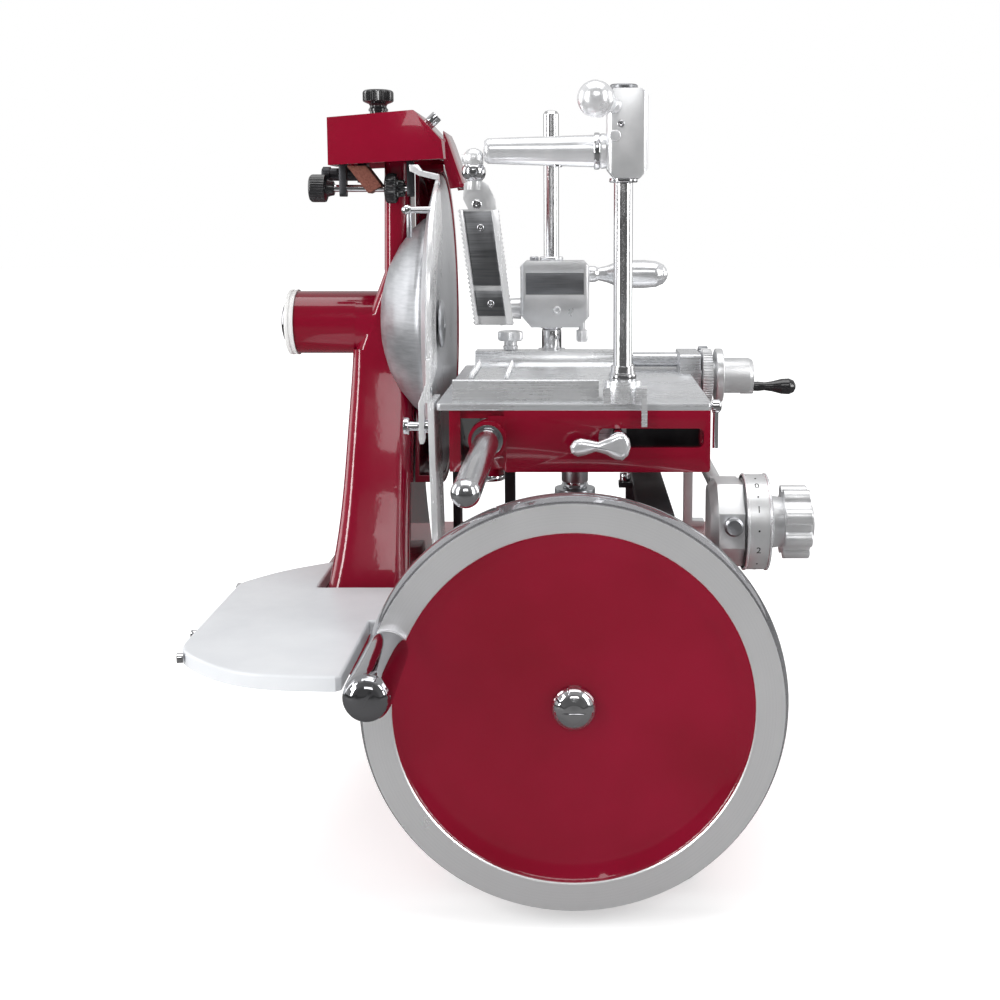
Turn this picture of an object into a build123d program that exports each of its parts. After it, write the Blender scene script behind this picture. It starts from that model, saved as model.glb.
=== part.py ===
from build123d import *
import math
import os

os.makedirs("parts", exist_ok=True)

# ---------------------------------------------------------------- dimensions
# Row frame: origin on the floor under the middle of the four foot bolts,
# +Z up, the flywheel faces -Y, the receiving plate is at -X.

# base
foot_dx, foot_dy = 92.0, 165.0          # half spacing of the foot bolts
foot_hole_r = 5.0
foot_pad_r, foot_pad_h = 22.0, 12.0
base_top = 245.0
base_y = 205.0
base_wall = 9.0

# flywheel and main shaft
wheel_z = 195.0                          # height of the main shaft
rim_face_y = -265.0
rim_in_r, rim_face_r, rim_out_r = 152.8, 177.6, 182.5
shaft_r = 11.0
run = 0.05                               # radial clearance of running fits
handle_x, handle_z = -154.5, 249.0       # crank handle axis
handle_pin_r = 6.0

# carriage drive crank
crank_y = 75.5
crank_len = 112.5                        # half the stroke of the carriage
rod_len = 150.0
rod_z0, rod_z1 = 333.0, 343.0
pin_x, pin_y = 0.0, 38.0                 # drive pin under the carriage
miter_r = 26.0

# knife drive
cross_y = 0.0
crown_r, pinion_r = 36.0, 18.0

# knife
knife_r = 150.0
knife_x = -135.0                         # right-hand face
knife_z = 499.0
knife_shaft_r = 12.0

# carriage
rail_x, rail_z, rail_r = -77.0, 410.0, 11.0
car_x0, car_x1 = -63.0, 122.0
car_y0, car_y1 = -165.0, 139.0
car_z0, car_z1 = 379.0, 435.0
plate_z1 = 441.0
boss_y = -140.0                          # capped boss under the round rail
flat_x0, flat_x1, flat_top = 56.0, 87.0, 352.0

# tray
tray_x0, tray_x1 = -109.0, 60.0
block_y, screw_z, screw_r = 110.0, 450.7, 5.0
tube_r = 8.0
front_col = (43.5, -152.0)
rear_col = (-26.0, 126.0)
col_r, col_top = 8.5, 722.0

# thickness dial
dial_y, dial_z = -145.0, 329.0


# ---------------------------------------------------------------- helpers
def outline(points, plane):
    with BuildSketch(plane) as s:
        with BuildLine():
            Polyline(*points, close=True)
        make_face()
    return s.sketch


def slab(points, plane, depth, both=False, mode=Mode.ADD):
    """Straight-sided solid: a polygon on a plane, pushed along its normal."""
    return extrude(outline(points, plane), amount=depth, both=both, mode=mode)


def block(x0, x1, y0, y1, z0, z1, mode=Mode.ADD):
    """Box between two corners."""
    with Locations(((x0 + x1) / 2, (y0 + y1) / 2, (z0 + z1) / 2)):
        return Box(x1 - x0, y1 - y0, z1 - z0, mode=mode)


def bar(p0, p1, r0, r1=None, mode=Mode.ADD):
    """Round bar or cone between two points."""
    a, b = Vector(*p0), Vector(*p1)
    length = (b - a).length
    frame = Plane(origin=a, z_dir=(b - a))
    with BuildSketch(frame) as s:
        Circle(r0)
    if r1 is None or abs(r1 - r0) < 1e-6:
        return extrude(s.sketch, amount=length, mode=mode)
    with BuildSketch(frame.offset(length)) as t:
        Circle(r1)
    return loft(sections=[s.sketch.face(), t.sketch.face()], mode=mode)


def turned_x(points, y, z, arc=360, start=0, mode=Mode.ADD):
    """Turned part with its axis along X; points are (x, radius)."""
    frame = Plane(origin=(0, y, z), x_dir=(1, 0, 0), z_dir=(0, -1, 0)).rotated((start, 0, 0))
    ax = Axis((0, y, z), (1, 0, 0))
    return revolve(outline(points, frame), axis=ax, revolution_arc=arc, mode=mode)


def turned_y(points, x, z, mode=Mode.ADD):
    """Turned part with its axis along Y; points are (radius, y)."""
    frame = Plane(origin=(x, 0, z), x_dir=(1, 0, 0), z_dir=(0, 0, 1))
    return revolve(outline(points, frame), axis=Axis((x, 0, z), (0, 1, 0)), mode=mode)


def turned_z(points, x, y, mode=Mode.ADD):
    """Turned part with its axis along Z; points are (radius, z)."""
    frame = Plane(origin=(x, y, 0), x_dir=(1, 0, 0), z_dir=(0, -1, 0))
    return revolve(outline(points, frame), axis=Axis((x, y, 0), (0, 0, 1)), mode=mode)


def bevel_gear(apex, axis_dir, x_dir, teeth, pitch_r, other_r, face, bore, back, phase=0.0):
    """Straight bevel gear. apex is where the shaft axes cross; the gear lies
    at distance other_r from it along axis_dir."""
    frame = Plane(origin=apex, x_dir=x_dir, z_dir=axis_dir)
    cone = math.hypot(pitch_r, other_r)
    ur, uz = pitch_r / cone, other_r / cone          # along the pitch cone
    nr, nz = uz, -ur                                 # outwards from the cone
    m = 2 * pitch_r / teeth
    inner = (cone - face) / cone

    def at(dist, off):
        return (dist * ur + off * nr, dist * uz + off * nz)

    root_o, root_i = at(cone, -1.15 * m), at(cone - face, -1.15 * m * inner)
    section = Plane(origin=frame.origin, x_dir=frame.x_dir, z_dir=-frame.y_dir)
    body = [root_i, root_o, (root_o[0], root_o[1] + back), (bore, root_o[1] + back), (bore, root_i[1])]
    revolve(outline(body, section), axis=Axis(frame.origin, frame.z_dir))
    # one tooth, lofted from its outer to its inner end
    ends = []
    for dist, k in ((cone - 0.2, 1.0), (cone - face + 0.2, inner)):
        lo, hi = at(dist, -1.5 * m * k), at(dist, 0.72 * m * k)
        mid = Vector(*frame.origin) + frame.x_dir * lo[0] + frame.z_dir * lo[1]
        up = frame.x_dir * (hi[0] - lo[0]) + frame.z_dir * (hi[1] - lo[1])
        tooth = Plane(origin=mid, x_dir=frame.y_dir, z_dir=frame.y_dir.cross(up))
        h = up.length
        w0, w1 = 0.98 * m * k, 0.40 * m * k
        ends.append(outline([(-w0, 0), (w0, 0), (w1, h), (-w1, h)], tooth).face())
    one = loft(sections=ends, mode=Mode.PRIVATE)
    axis = Axis(frame.origin, frame.z_dir)
    add([one.rotate(axis, 360.0 * i / teeth + phase) for i in range(teeth)])


def spur_gear(x0, x1, y, z, teeth, module, phase=0.0):
    """Spur gear on an X axis."""
    rp = teeth * module / 2
    root, tip = rp - 1.2 * module, rp + 0.85 * module
    pts = []
    step = 2 * math.pi / teeth
    for i in range(teeth):
        c = i * step + math.radians(phase)
        for ang, r in ((-0.31, root), (-0.13, tip), (0.13, tip), (0.31, root)):
            pts.append((r * math.cos(c + ang * step), r * math.sin(c + ang * step)))
    frame = Plane(origin=(x0, y, z), x_dir=(0, 1, 0), z_dir=(1, 0, 0))
    extrude(outline(pts, frame), amount=x1 - x0)


def save(part, name):
    part.label = name
    export_step(part, "parts/" + name + ".step")


# ================================================================= BASE
# hollow cast stand, narrow at the feet, with a wing for the knife column
with BuildPart() as base_casting:
    slab([(-95, 24), (95, 24), (150, 105), (165, base_top), (-165, base_top), (-150, 105)],
         Plane.XZ.offset(-base_y), 2 * base_y)
    slab([(-150, 185), (-262, 195), (-262, base_top), (-150, base_top)], Plane.XZ.offset(-112), 224)
    slab([(-140, 122), (-262, 165), (-262, base_top), (-140, base_top)], Plane.XZ.offset(-60), 120)
    fillet(base_casting.edges().filter_by(Axis.Y).group_by(Axis.Z)[-1], 6)
    w = base_wall
    slab([(-95 + w, 10), (95 - w, 10), (150 - w, 105), (165 - w, base_top - w), (-165 + w, base_top - w),
          (-150 + w, 105)], Plane.XZ.offset(-base_y + w), 2 * (base_y - w), mode=Mode.SUBTRACT)
    slab([(-130, 131), (-253, 174), (-253, base_top - w), (-130, base_top - w)],
         Plane.XZ.offset(-60 + w), 120 - 2 * w, mode=Mode.SUBTRACT)
    slab([(-140, 194), (-253, 204), (-253, base_top - w), (-140, base_top - w)],
         Plane.XZ.offset(-112 + w), 2 * (112 - w), mode=Mode.SUBTRACT)
    # four foot lugs
    for sx in (-1, 1):
        for sy in (-1, 1):
            bar((sx * foot_dx, sy * foot_dy, foot_pad_h), (sx * foot_dx, sy * foot_dy, 40), 20)
            block(min(sx * 70, sx * 108), max(sx * 70, sx * 108), min(sy * 160, sy * 200), max(sy * 160, sy * 200), 24, 40)
            bar((sx * foot_dx, sy * foot_dy, 0), (sx * foot_dx, sy * foot_dy, 60), foot_hole_r, mode=Mode.SUBTRACT)
    # main shaft bosses and the inner rib that carries the rear bush
    bar((0, -214, wheel_z), (0, -186, wheel_z), 26)
    block(-158, 158, 112, 121, 110, base_top - w + 1)
    bar((0, 104, wheel_z), (0, 132, wheel_z), 26)
    bar((0, -230, wheel_z), (0, 150, wheel_z), 16, mode=Mode.SUBTRACT)
    # boss for the upright crank shaft
    bar((0, crank_y, 230), (0, crank_y, 272), 26)
    bar((0, crank_y, 225), (0, crank_y, 280), 15, mode=Mode.SUBTRACT)
    # inner rib and boss for the cross shaft
    block(-166, -157, -54, 54, 142, base_top - w + 1)
    bar((-172, cross_y, wheel_z), (-150, cross_y, wheel_z), 20)
    bar((-180, cross_y, wheel_z), (-140, cross_y, wheel_z), 13, mode=Mode.SUBTRACT)
    # outer boss of the cross shaft
    bar((-256, cross_y, wheel_z), (-238, cross_y, wheel_z), 16)
    bar((-250, cross_y, wheel_z), (-230, cross_y, wheel_z), 8 + run, mode=Mode.SUBTRACT)
    # opening for the chain under the column
    block(-214, -176, -44, 44, 230, 260, mode=Mode.SUBTRACT)
save(base_casting.part, "base_casting")

with BuildPart() as foot_pads:
    for sx in (-1, 1):
        for sy in (-1, 1):
            turned_z([(foot_hole_r, 0), (foot_pad_r - 2, 0), (foot_pad_r, 2), (foot_pad_r, foot_pad_h - 1.5),
                      (foot_pad_r - 1.5, foot_pad_h), (foot_hole_r, foot_pad_h)], sx * foot_dx, sy * foot_dy)
save(foot_pads.part, "foot_pads")

# ================================================================= COLUMN
# hollow cast column that carries the knife hub and, on a neck, the hood
with BuildPart() as column:
    sections = [
        (base_top, -239, -158, -110, 105, 16),
        (275, -233.5, -159.5, -101, 96, 16),
        (320, -228.5, -161, -82, 78, 15),
        (380, -225, -161, -62, 60, 14),
        (440, -222.5, -161, -42, 42, 13),
        (476, -221, -161, -34, 34, 12),
    ]
    faces = []
    for z, x0, x1, y0, y1, r in sections:
        with BuildSketch(Plane.XY.offset(z)) as s:
            with Locations(((x0 + x1) / 2, (y0 + y1) / 2)):
                RectangleRounded(x1 - x0, y1 - y0, r)
        faces.append(s.sketch.face())
    loft(sections=faces)
    hollow = []
    for z, x0, x1, y0, y1, r in sections:
        z2 = z - 1 if z == base_top else z
        with BuildSketch(Plane.XY.offset(z2)) as s:
            with Locations(((x0 + x1) / 2, (y0 + y1) / 2)):
                RectangleRounded(x1 - x0 - 14, y1 - y0 - 14, r - 6)
        hollow.append(s.sketch.face())
    loft(sections=hollow, mode=Mode.SUBTRACT)
    # neck up to the hood
    with BuildSketch(Plane.XY.offset(476)) as s:
        with Locations((-189.5, 0)):
            RectangleRounded(57, 68, 12)
    with BuildSketch(Plane.XY.offset(552)) as t:
        with Locations((-175.5, 0)):
            RectangleRounded(26, 62, 10)
    with BuildSketch(Plane.XY.offset(690)) as u:
        with Locations((-174.5, 0)):
            RectangleRounded(24, 54, 9)
    loft(sections=[s.sketch.face(), t.sketch.face()])
    loft(sections=[t.sketch.face(), u.sketch.face()])
    # knife hub across the column
    bar((-279, 0, knife_z + 2), (-160, 0, knife_z + 2), 31.5)
    bar((-217.5, 0, knife_z), (-160, 0, knife_z), 33)
    # chain room, open to the hollow below, and the shaft bore
    block(-206.5, -185, -28, 28, 400, 474, mode=Mode.SUBTRACT)
    block(-206.5, -185, -23.5, 23.5, 473, knife_z + 4, mode=Mode.SUBTRACT)
    bar((-206.5, 0, knife_z), (-185, 0, knife_z), 25, mode=Mode.SUBTRACT)
    bar((-290, 0, knife_z), (-150, 0, knife_z), 17, mode=Mode.SUBTRACT)
save(column.part, "column")

# ring and domed cap that close the hub
with BuildPart() as hub_cap:
    turned_x([(-279, 20), (-279, 33), (-286, 33), (-288, 31), (-288, 19.8), (-289.5, 19.2), (-292, 15), (-294.5, 10),
              (-295.5, 0), (-284, 0), (-284, 20)], 0, knife_z + 2)
save(hub_cap.part, "hub_cap")

# ================================================================= SHAFT BUSHES
with BuildPart() as shaft_bushes:
    ri, ro = shaft_r + run, 16.0
    turned_y([(ri, -216), (20, -216), (20, -214), (ro, -214), (ro, -186), (ri, -186)], 0, wheel_z)
    turned_y([(ri, 104), (ro, 104), (ro, 132), (ri, 132)], 0, wheel_z)
    turned_z([(10 + run, 231), (15, 231), (15, 272), (20, 272), (20, 275), (10 + run, 275)], 0, crank_y)
    turned_x([(-172, 8 + run), (-172, 13), (-150, 13), (-150, 8 + run)], cross_y, wheel_z)
    turned_x([(-278, knife_shaft_r + run), (-278, 17), (-240, 17), (-240, knife_shaft_r + run)], 0, knife_z)
    turned_x([(-184, knife_shaft_r + run), (-184, 17), (-161, 17), (-161, knife_shaft_r + run)], 0, knife_z)
save(shaft_bushes.part, "shaft_bushes")

# ================================================================= HOOD AND GUARDS
knob_x = -194.2                          # knob on top of the hood
# cover over the sharpener, on the neck of the column
with BuildPart() as sharpener_hood:
    slab([(-234, 655.5), (-234, 700), (-152, 707), (-126, 679), (-124, 661.5)], Plane.XZ.offset(-62), 127)
    fillet(sharpener_hood.edges().filter_by(Axis.Y).group_by(Axis.Z)[-1], 3)
    slab([(-230, 650), (-230, 696.3), (-154, 702.8), (-130, 677.5), (-128, 650)], Plane.XZ.offset(-58), 119, mode=Mode.SUBTRACT)
    # cheek beside the top of the knife
    slab([(-128, 690), (-124, 681), (-110, 640), (-106, 636), (-122, 634), (-128, 660)], Plane.XZ.offset(-60), 88)
    slab([(-129, 685), (-127, 678), (-115, 640), (-112, 620), (-129, 620), (-134, 640)], Plane.XZ.offset(-56), 80, mode=Mode.SUBTRACT)
    # crosspiece that the neck bolts to
    slab([(-232, 690), (-232, 698), (-154, 704.6), (-150, 700), (-150, 690)], Plane.XZ.offset(-29), 58)
    bar((knob_x, -5, 680), (knob_x, -5, 712), 8.5, mode=Mode.SUBTRACT)
save(sharpener_hood.part, "sharpener_hood")

# ring round the rear of the knife
with BuildPart() as ring_guard:
    turned_x([(-160, 60), (-156, 60), (-156, 153), (-132, 153), (-132, 160), (-160, 160)], 0, knife_z, arc=190, start=168)
save(ring_guard.part, "ring_guard")

# domed slice deflector in front of the column
with BuildPart() as slice_dome:
    dome_out = [(-142.5, 107), (-147, 106), (-158, 97), (-171, 82), (-182, 64), (-190, 42), (-194, 20), (-194.5, 0)]
    dome_in = [(-192.5, 0), (-192, 20), (-188, 41), (-180.3, 63), (-169.4, 80.8), (-157, 95), (-146.5, 104), (-142.5, 105)]
    turned_x(dome_out + dome_in, 0, knife_z + 6, arc=180, start=0)
    block(-220, -130, -36, 200, 350, 660, mode=Mode.SUBTRACT)
    # lower rear edge follows the front of the column
    slab([(-35, 476), (-44.5, 440), (-66, 378), (0, 378), (0, 476)], Plane.YZ.offset(-220), 90, mode=Mode.SUBTRACT)
save(slice_dome.part, "slice_dome")

# polished crescent plate over the cutting edge, with its bent tab
with BuildPart() as slice_strip:
    turned_x([(-132.4, 103), (-129.2, 103), (-129.2, 155), (-132.4, 155)], 0, knife_z, arc=88, start=20)
    block(-132.4, -129.2, -162, -142, 441, 480)
    slab([(-132.4, 459), (-129.2, 459), (-129.2, 447), (-134.6, 439), (-134.6, 408), (-135.5, 404), (-138.5, 404),
          (-139.4, 408), (-139.4, 441)], Plane.XZ.offset(149), 13)
    bar((-142, -155.5, 419), (-133, -155.5, 419), 4.3, mode=Mode.SUBTRACT)
save(slice_strip.part, "slice_strip")

# upright plate that carries the crescent
with BuildPart() as guard_bar:
    slab([(-131.4, 441), (-126, 441), (-122, base_top), (-127.4, base_top)], Plane.XZ.offset(102), 60)
    block(-127, -106, -162, -102, base_top, base_top + 5)
    for y in (-150, -114):
        bar((-113, y, base_top + 5), (-113, y, base_top + 9), 5)
save(guard_bar.part, "guard_bar")

# ================================================================= RAILS
with BuildPart() as guide_rail:
    bar((rail_x, -396, rail_z), (rail_x, 200, rail_z), rail_r)
    with Locations((rail_x, -396, rail_z)):
        Sphere(rail_r)
save(guide_rail.part, "guide_rail")

# cast bracket under the rear half of the round rail, posts of the flat rail
with BuildPart() as rail_stands:
    slab([(-5, 366), (-5, 404), (204, 404), (204, base_top), (186, base_top), (186, 352), (20, 352)],
         Plane.YZ.offset(rail_x - 6), 12)
    block(rail_x - 13, rail_x + 13, -5, 204, 394, 408)
    block(rail_x - 16, rail_x + 16, 180, 204, base_top, base_top + 12)
    # outer leg, reaching round the sweep of the crank
    block(-131.5, rail_x, 60, 90, 346, 361)
    block(-131.5, -124, 60, 90, base_top, 361)
    block(-150, -124, 60, 90, base_top, base_top + 8)
    bar((rail_x, -410, rail_z), (rail_x, 210, rail_z), rail_r, mode=Mode.SUBTRACT)
    for y0, y1 in ((-200, -176), (190, 204)):
        block(60, 83, y0, y1, base_top, flat_top - 6)
save(rail_stands.part, "rail_stands")

with BuildPart() as flat_rail:
    block(flat_x0, flat_x1, -212, 205, flat_top - 6, flat_top)
    chamfer(flat_rail.edges().filter_by(Axis.Y).group_by(Axis.Z)[-1], 1)
    block(43, flat_x0, -77, -61, flat_top - 6, flat_top - 1)
save(flat_rail.part, "flat_rail")

# ================================================================= RECEIVING PLATE
with BuildPart() as receiving_plate:
    with BuildSketch(Plane.XY.offset(246)) as s:
        with BuildLine():
            near = Spline((-182, -354), (-214, -352.5), (-251, -345.5), (-283, -328), (-312, -299), (-322, -262),
                          tangents=[(-1, 0.01), (0, 1)])
            far_end = Line(near @ 1, (-322, -108))
            far = Spline(far_end @ 1, (-312, -84), (-296, -63), (-272, -41), (-252, -26), tangents=[(0, 1), (0.8, 0.6)])
            Polyline(far @ 1, (-244, -22), (-244, -114), (-151, -114), (-130, -122), (-130, -212), (-178, -216), (-178, -350), near @ 0)
        make_face()
        for x, y, r in ((-244, -22, 3), (-244, -114, 3), (-151, -114, 3), (-130, -122, 5), (-130, -212, 4), (-178, -350, 3)):
            fillet(s.vertices().sort_by_distance((x, y, 246))[0], r)
    extrude(amount=12)
    fillet(receiving_plate.edges().group_by(Axis.Z)[-1], 2.5)
save(receiving_plate.part, "receiving_plate")

# ================================================================= SMALL SCREWS
with BuildPart() as case_screws:
    # thumb screw of the crescent plate, with its spacer against the upright plate
    turned_x([(-153.6, 0), (-153.6, 7), (-153, 8), (-149.6, 8), (-149, 7.4), (-149, 4.3), (-134.6, 4.3), (-134.6, 6.5), (-131.2, 6.5), (-131.2, 0)],
             -155.5, 419)
    # hood screw on the slope
    bar((-140.48, -45, 694.64), (-131.7, -45, 702.8), 5.5)
    # three pins at the edge of the receiving plate
    bar((-322, -236, 252), (-327, -236, 252), 4)
    bar((-320.1, -94.8, 252), (-324.7, -93.3, 252), 4)
    bar((-316.5, -294.1, 252), (-321.3, -295.4, 252), 4)
    # flat rail stop bolt
    bar((49, -69, flat_top - 1), (49, -69, flat_top + 7), 5)
save(case_screws.part, "case_screws")

# ================================================================= FLYWHEEL
with BuildPart() as flywheel_rim:
    with BuildSketch(Plane(origin=(0, 0, wheel_z), x_dir=(1, 0, 0), z_dir=(0, 0, 1))) as s:
        with BuildLine():
            l1 = Polyline((rim_in_r, rim_face_y + 1), (rim_in_r + 1, rim_face_y), (rim_face_r, rim_face_y),
                          (rim_face_r + 0.3, rim_face_y + 2.5), (rim_face_r + 1.6, rim_face_y + 2.8))
            l2 = ThreePointArc(l1 @ 1, (rim_out_r, -246), (rim_face_r - 0.6, -227))
            Polyline(l2 @ 1, (rim_face_r - 3, -225), (rim_in_r + 2, -225), (rim_in_r, -227), (rim_in_r, rim_face_y + 1))
        make_face()
    revolve(axis=Axis((0, 0, wheel_z), (0, 1, 0)))
    bar((handle_x, -270, handle_z), (handle_x, -240, handle_z), handle_pin_r, mode=Mode.SUBTRACT)
save(flywheel_rim.part, "flywheel_rim")

with BuildPart() as flywheel_disc:
    with BuildSketch(Plane(origin=(0, 0, wheel_z), x_dir=(1, 0, 0), z_dir=(0, 0, 1))) as s:
        with BuildLine():
            a1 = Line((shaft_r, -256.5), (132.5, -256.5))
            a2 = Spline(a1 @ 1, (142.5, -258), (149, -261), (rim_in_r, rim_face_y + 1), tangents=[(1, 0), (0.45, -1)])
            Polyline(a2 @ 1, (rim_in_r, -236), (146, -238), (136, -247.5), (34, -247.5), (30, -244), (30, -222),
                     (shaft_r, -222), (shaft_r, -256.5))
        make_face()
    revolve(axis=Axis((0, 0, wheel_z), (0, 1, 0)))
save(flywheel_disc.part, "flywheel_disc")

with BuildPart() as wheel_cap_nut:
    turned_y([(0, -256.5), (19.3, -256.5), (19.3, -259), (17.8, -262.5), (14, -266.2), (8, -269), (0, -270)], 0, wheel_z)
    block(-16, 16, -272, -267.6, wheel_z - 1.2, wheel_z + 1.2, mode=Mode.SUBTRACT)
save(wheel_cap_nut.part, "wheel_cap_nut")

with BuildPart() as main_shaft:
    turned_y([(0, -256.5), (shaft_r, -256.5), (shaft_r, 150), (9.5, 151.5), (0, 151.5)], 0, wheel_z)
    turned_y([(shaft_r, 133), (15, 133), (15, 140), (shaft_r, 140)], 0, wheel_z)
save(main_shaft.part, "main_shaft")

# two bevel gears fixed on the main shaft: 1:1 to the upright crank shaft,
# 2:1 to the cross shaft of the knife drive
with BuildPart() as main_bevel_gears:
    bevel_gear((0, crank_y, wheel_z), (0, -1, 0), (0, 0, 1), 20, miter_r, miter_r, 9, shaft_r, 10)
    bevel_gear((0, cross_y, wheel_z), (0, 1, 0), (-1, 0, 0), 32, crown_r, pinion_r, 9, shaft_r, 10)
save(main_bevel_gears.part, "main_bevel_gears")

# fixed pin and collar of the crank handle
with BuildPart() as handle_axle:
    turned_y([(0, -240), (handle_pin_r, -240), (handle_pin_r, -265), (15, -265), (17, -267), (17, -270.5),
              (handle_pin_r, -270.5), (handle_pin_r, -372), (9, -372), (9, -374), (0, -374)], handle_x, handle_z)
save(handle_axle.part, "handle_axle")

with BuildPart() as crank_handle:
    turned_y([(handle_pin_r + run, -271), (16.6, -271), (17.6, -272.5), (17.9, -290), (18.2, -320), (18.85, -352), (18.9, -368),
              (18.4, -375), (16.2, -380.5), (11, -384.3), (5, -385.8), (0, -386), (0, -375), (9.4, -375), (9.4, -371),
              (handle_pin_r + run, -371)], handle_x, handle_z)
    with BuildSketch(Plane(origin=(handle_x, -384.6, handle_z), x_dir=(math.cos(1.13), 0, math.sin(1.13)), z_dir=(0, -1, 0))):
        Rectangle(28, 2.4)
    extrude(amount=4, mode=Mode.SUBTRACT)
save(crank_handle.part, "crank_handle")

# ================================================================= CARRIAGE CRANK
# upright shaft with its bevel pinion in one piece
with BuildPart() as crank_shaft:
    bevel_gear((0, crank_y, wheel_z), (0, 0, 1), (0, -1, 0), 20, miter_r, miter_r, 9, 9, 6, phase=9)
    turned_z([(0, 215), (10, 215), (10, 299.9), (8, 299.9), (8, 314), (13, 314), (13, 316), (0, 316)], 0, crank_y)
    with BuildSketch(Plane.XY.offset(316)):
        with Locations((0, crank_y)):
            RegularPolygon(12, 6)
    extrude(amount=10)
    bar((0, crank_y, 326), (0, crank_y, 331), 7)
save(crank_shaft.part, "crank_shaft")

# the crank points to the rear at rest
with BuildPart() as crank_arm:
    with BuildSketch(Plane.XY.offset(300)):
        with Locations((0, crank_y)):
            Circle(22)
        with Locations((0, crank_y + crank_len)):
            Circle(10)
    extrude(amount=14)
    slab([(16, crank_y), (8.5, crank_y + crank_len), (-8.5, crank_y + crank_len), (-16, crank_y)], Plane.XY.offset(300), 14)
    bar((0, crank_y + crank_len, 310), (0, crank_y + crank_len, 332), 6)
    bar((0, crank_y, 295), (0, crank_y, 320), 8, mode=Mode.SUBTRACT)
save(crank_arm.part, "crank_arm")

# ================================================================= KNIFE DRIVE
with BuildPart() as cross_shaft:
    bevel_gear((0, cross_y, wheel_z), (-1, 0, 0), (0, 1, 0), 16, pinion_r, crown_r, 9, 5, 6, phase=11.25)
    turned_x([(-30, 0), (-30, 8), (-182, 8), (-182, 15), (-193, 15), (-193, 8), (-248, 8), (-248, 0)], cross_y, wheel_z)
    spur_gear(-200, -193, cross_y, wheel_z, 24, 2.6)
save(cross_shaft.part, "cross_shaft")

# roller chain, kept as one closed band clear of the sprocket teeth
with BuildPart() as drive_chain:
    r_lo, r_hi = 34.5, 19.3
    ca, cb = Vector(cross_y, wheel_z), Vector(0, knife_z)
    gap = (cb - ca).length
    base_ang = math.atan2(cb.Y - ca.Y, cb.X - ca.X)
    with BuildSketch(Plane.YZ.offset(-200)) as s:
        for grow, m in ((2.4, Mode.ADD), (0.0, Mode.SUBTRACT)):
            r1, r2 = r_lo + grow, r_hi + grow
            d = math.acos((r1 - r2) / gap)
            p = [(ca.X + r1 * math.cos(base_ang + d), ca.Y + r1 * math.sin(base_ang + d)),
                 (cb.X + r2 * math.cos(base_ang + d), cb.Y + r2 * math.sin(base_ang + d)),
                 (cb.X + r2 * math.cos(base_ang - d), cb.Y + r2 * math.sin(base_ang - d)),
                 (ca.X + r1 * math.cos(base_ang - d), ca.Y + r1 * math.sin(base_ang - d))]
            with BuildLine(mode=Mode.PRIVATE) as band:
                Line(p[0], p[1])
                ThreePointArc(p[1], (cb.X + r2 * math.cos(base_ang), cb.Y + r2 * math.sin(base_ang)), p[2])
                Line(p[2], p[3])
                ThreePointArc(p[3], (ca.X - r1 * math.cos(base_ang), ca.Y - r1 * math.sin(base_ang)), p[0])
            make_face(band.edges(), mode=m)
    extrude(amount=7)
save(drive_chain.part, "drive_chain")

with BuildPart() as knife:
    turned_x([(-138.5, knife_shaft_r), (-138, 40), (-136.5, 90), (-133, 148.5), (-133.2, 149.6), (-134, knife_r), (-140, 130),
              (-141.5, 120), (-143, 60), (-147, 50), (-147, knife_shaft_r)], 0, knife_z)
save(knife.part, "knife")

with BuildPart() as knife_shaft:
    turned_x([(-280, 0), (-280, knife_shaft_r), (-159.5, knife_shaft_r), (-159.5, 20), (-155, 20), (-155, 38), (-147, 38),
              (-147, knife_shaft_r), (-138.5, knife_shaft_r), (-138, 10.5), (-135, 9.5), (-133.5, 6), (-133.5, 0)], 0, knife_z)
    spur_gear(-200, -193, 0, knife_z, 12, 2.6)
save(knife_shaft.part, "knife_shaft")

# ================================================================= CARRIAGE
with BuildPart() as carriage_body:
    block(car_x0, car_x1, car_y0, car_y1, car_z0, car_z1)
    fillet(carriage_body.edges().filter_by(Axis.Y).group_by(Axis.Z)[0], 3)
    block(car_x0 + 8, car_x1 - 8, car_y0 + 8, car_y1 + 2, car_z0 - 2, car_z1 - 6, mode=Mode.SUBTRACT)
    # front slot
    with BuildSketch(Plane.XZ.offset(150)):
        with Locations((69, 410)):
            RectangleRounded(94, 17.4, 5)
    extrude(amount=30, mode=Mode.SUBTRACT)
    # web over the round rail, flank, and the two bushing bosses
    block(-112, car_x0 + 1, car_y0 + 6, car_y1, 427, car_z1)
    block(-112, -102, car_y0 + 2, car_y1, car_z0, car_z1)
    for y0, y1 in ((-177, -150), (-42, -12)):
        bar((rail_x, y0, rail_z), (rail_x, y1, rail_z), 17)
        block(rail_x, car_x0 + 2, max(y0, car_y0), y1, rail_z - 17, 430)
    # capped boss under the rail
    bar((rail_x, boss_y, 373), (rail_x, boss_y, rail_z - 5), 13)
    block(rail_x - 13, rail_x + 13, -153, -148, car_z0, rail_z)
    block(rail_x - 13, car_x0 + 2, -153, -127, 380, rail_z - 12)
    bar((rail_x, -180, rail_z), (rail_x, 0, rail_z), 14, mode=Mode.SUBTRACT)
    # boss of the drive pin, hung from the top web
    bar((pin_x, pin_y, 353), (pin_x, pin_y, 430), 13)
    for a, b, c, d in ((-55, 55, pin_y - 4, pin_y + 4), (pin_x - 4, pin_x + 4, pin_y - 50, pin_y + 50)):
        block(a, b, c, d, 395, 431)
    bar((pin_x, pin_y, 340), (pin_x, pin_y, 400), 7, mode=Mode.SUBTRACT)
    # cheeks of the roller
    for x0, x1 in ((50, 58), (86, 94)):
        block(x0, x1, 50, 74, 362, car_z1 - 5)
    bar((45, 62, 370), (100, 62, 370), 6, mode=Mode.SUBTRACT)
    # slot for the tray carrier
    block(-55, 40, -156, -144, 425, 440, mode=Mode.SUBTRACT)
save(carriage_body.part, "carriage_body")

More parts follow.
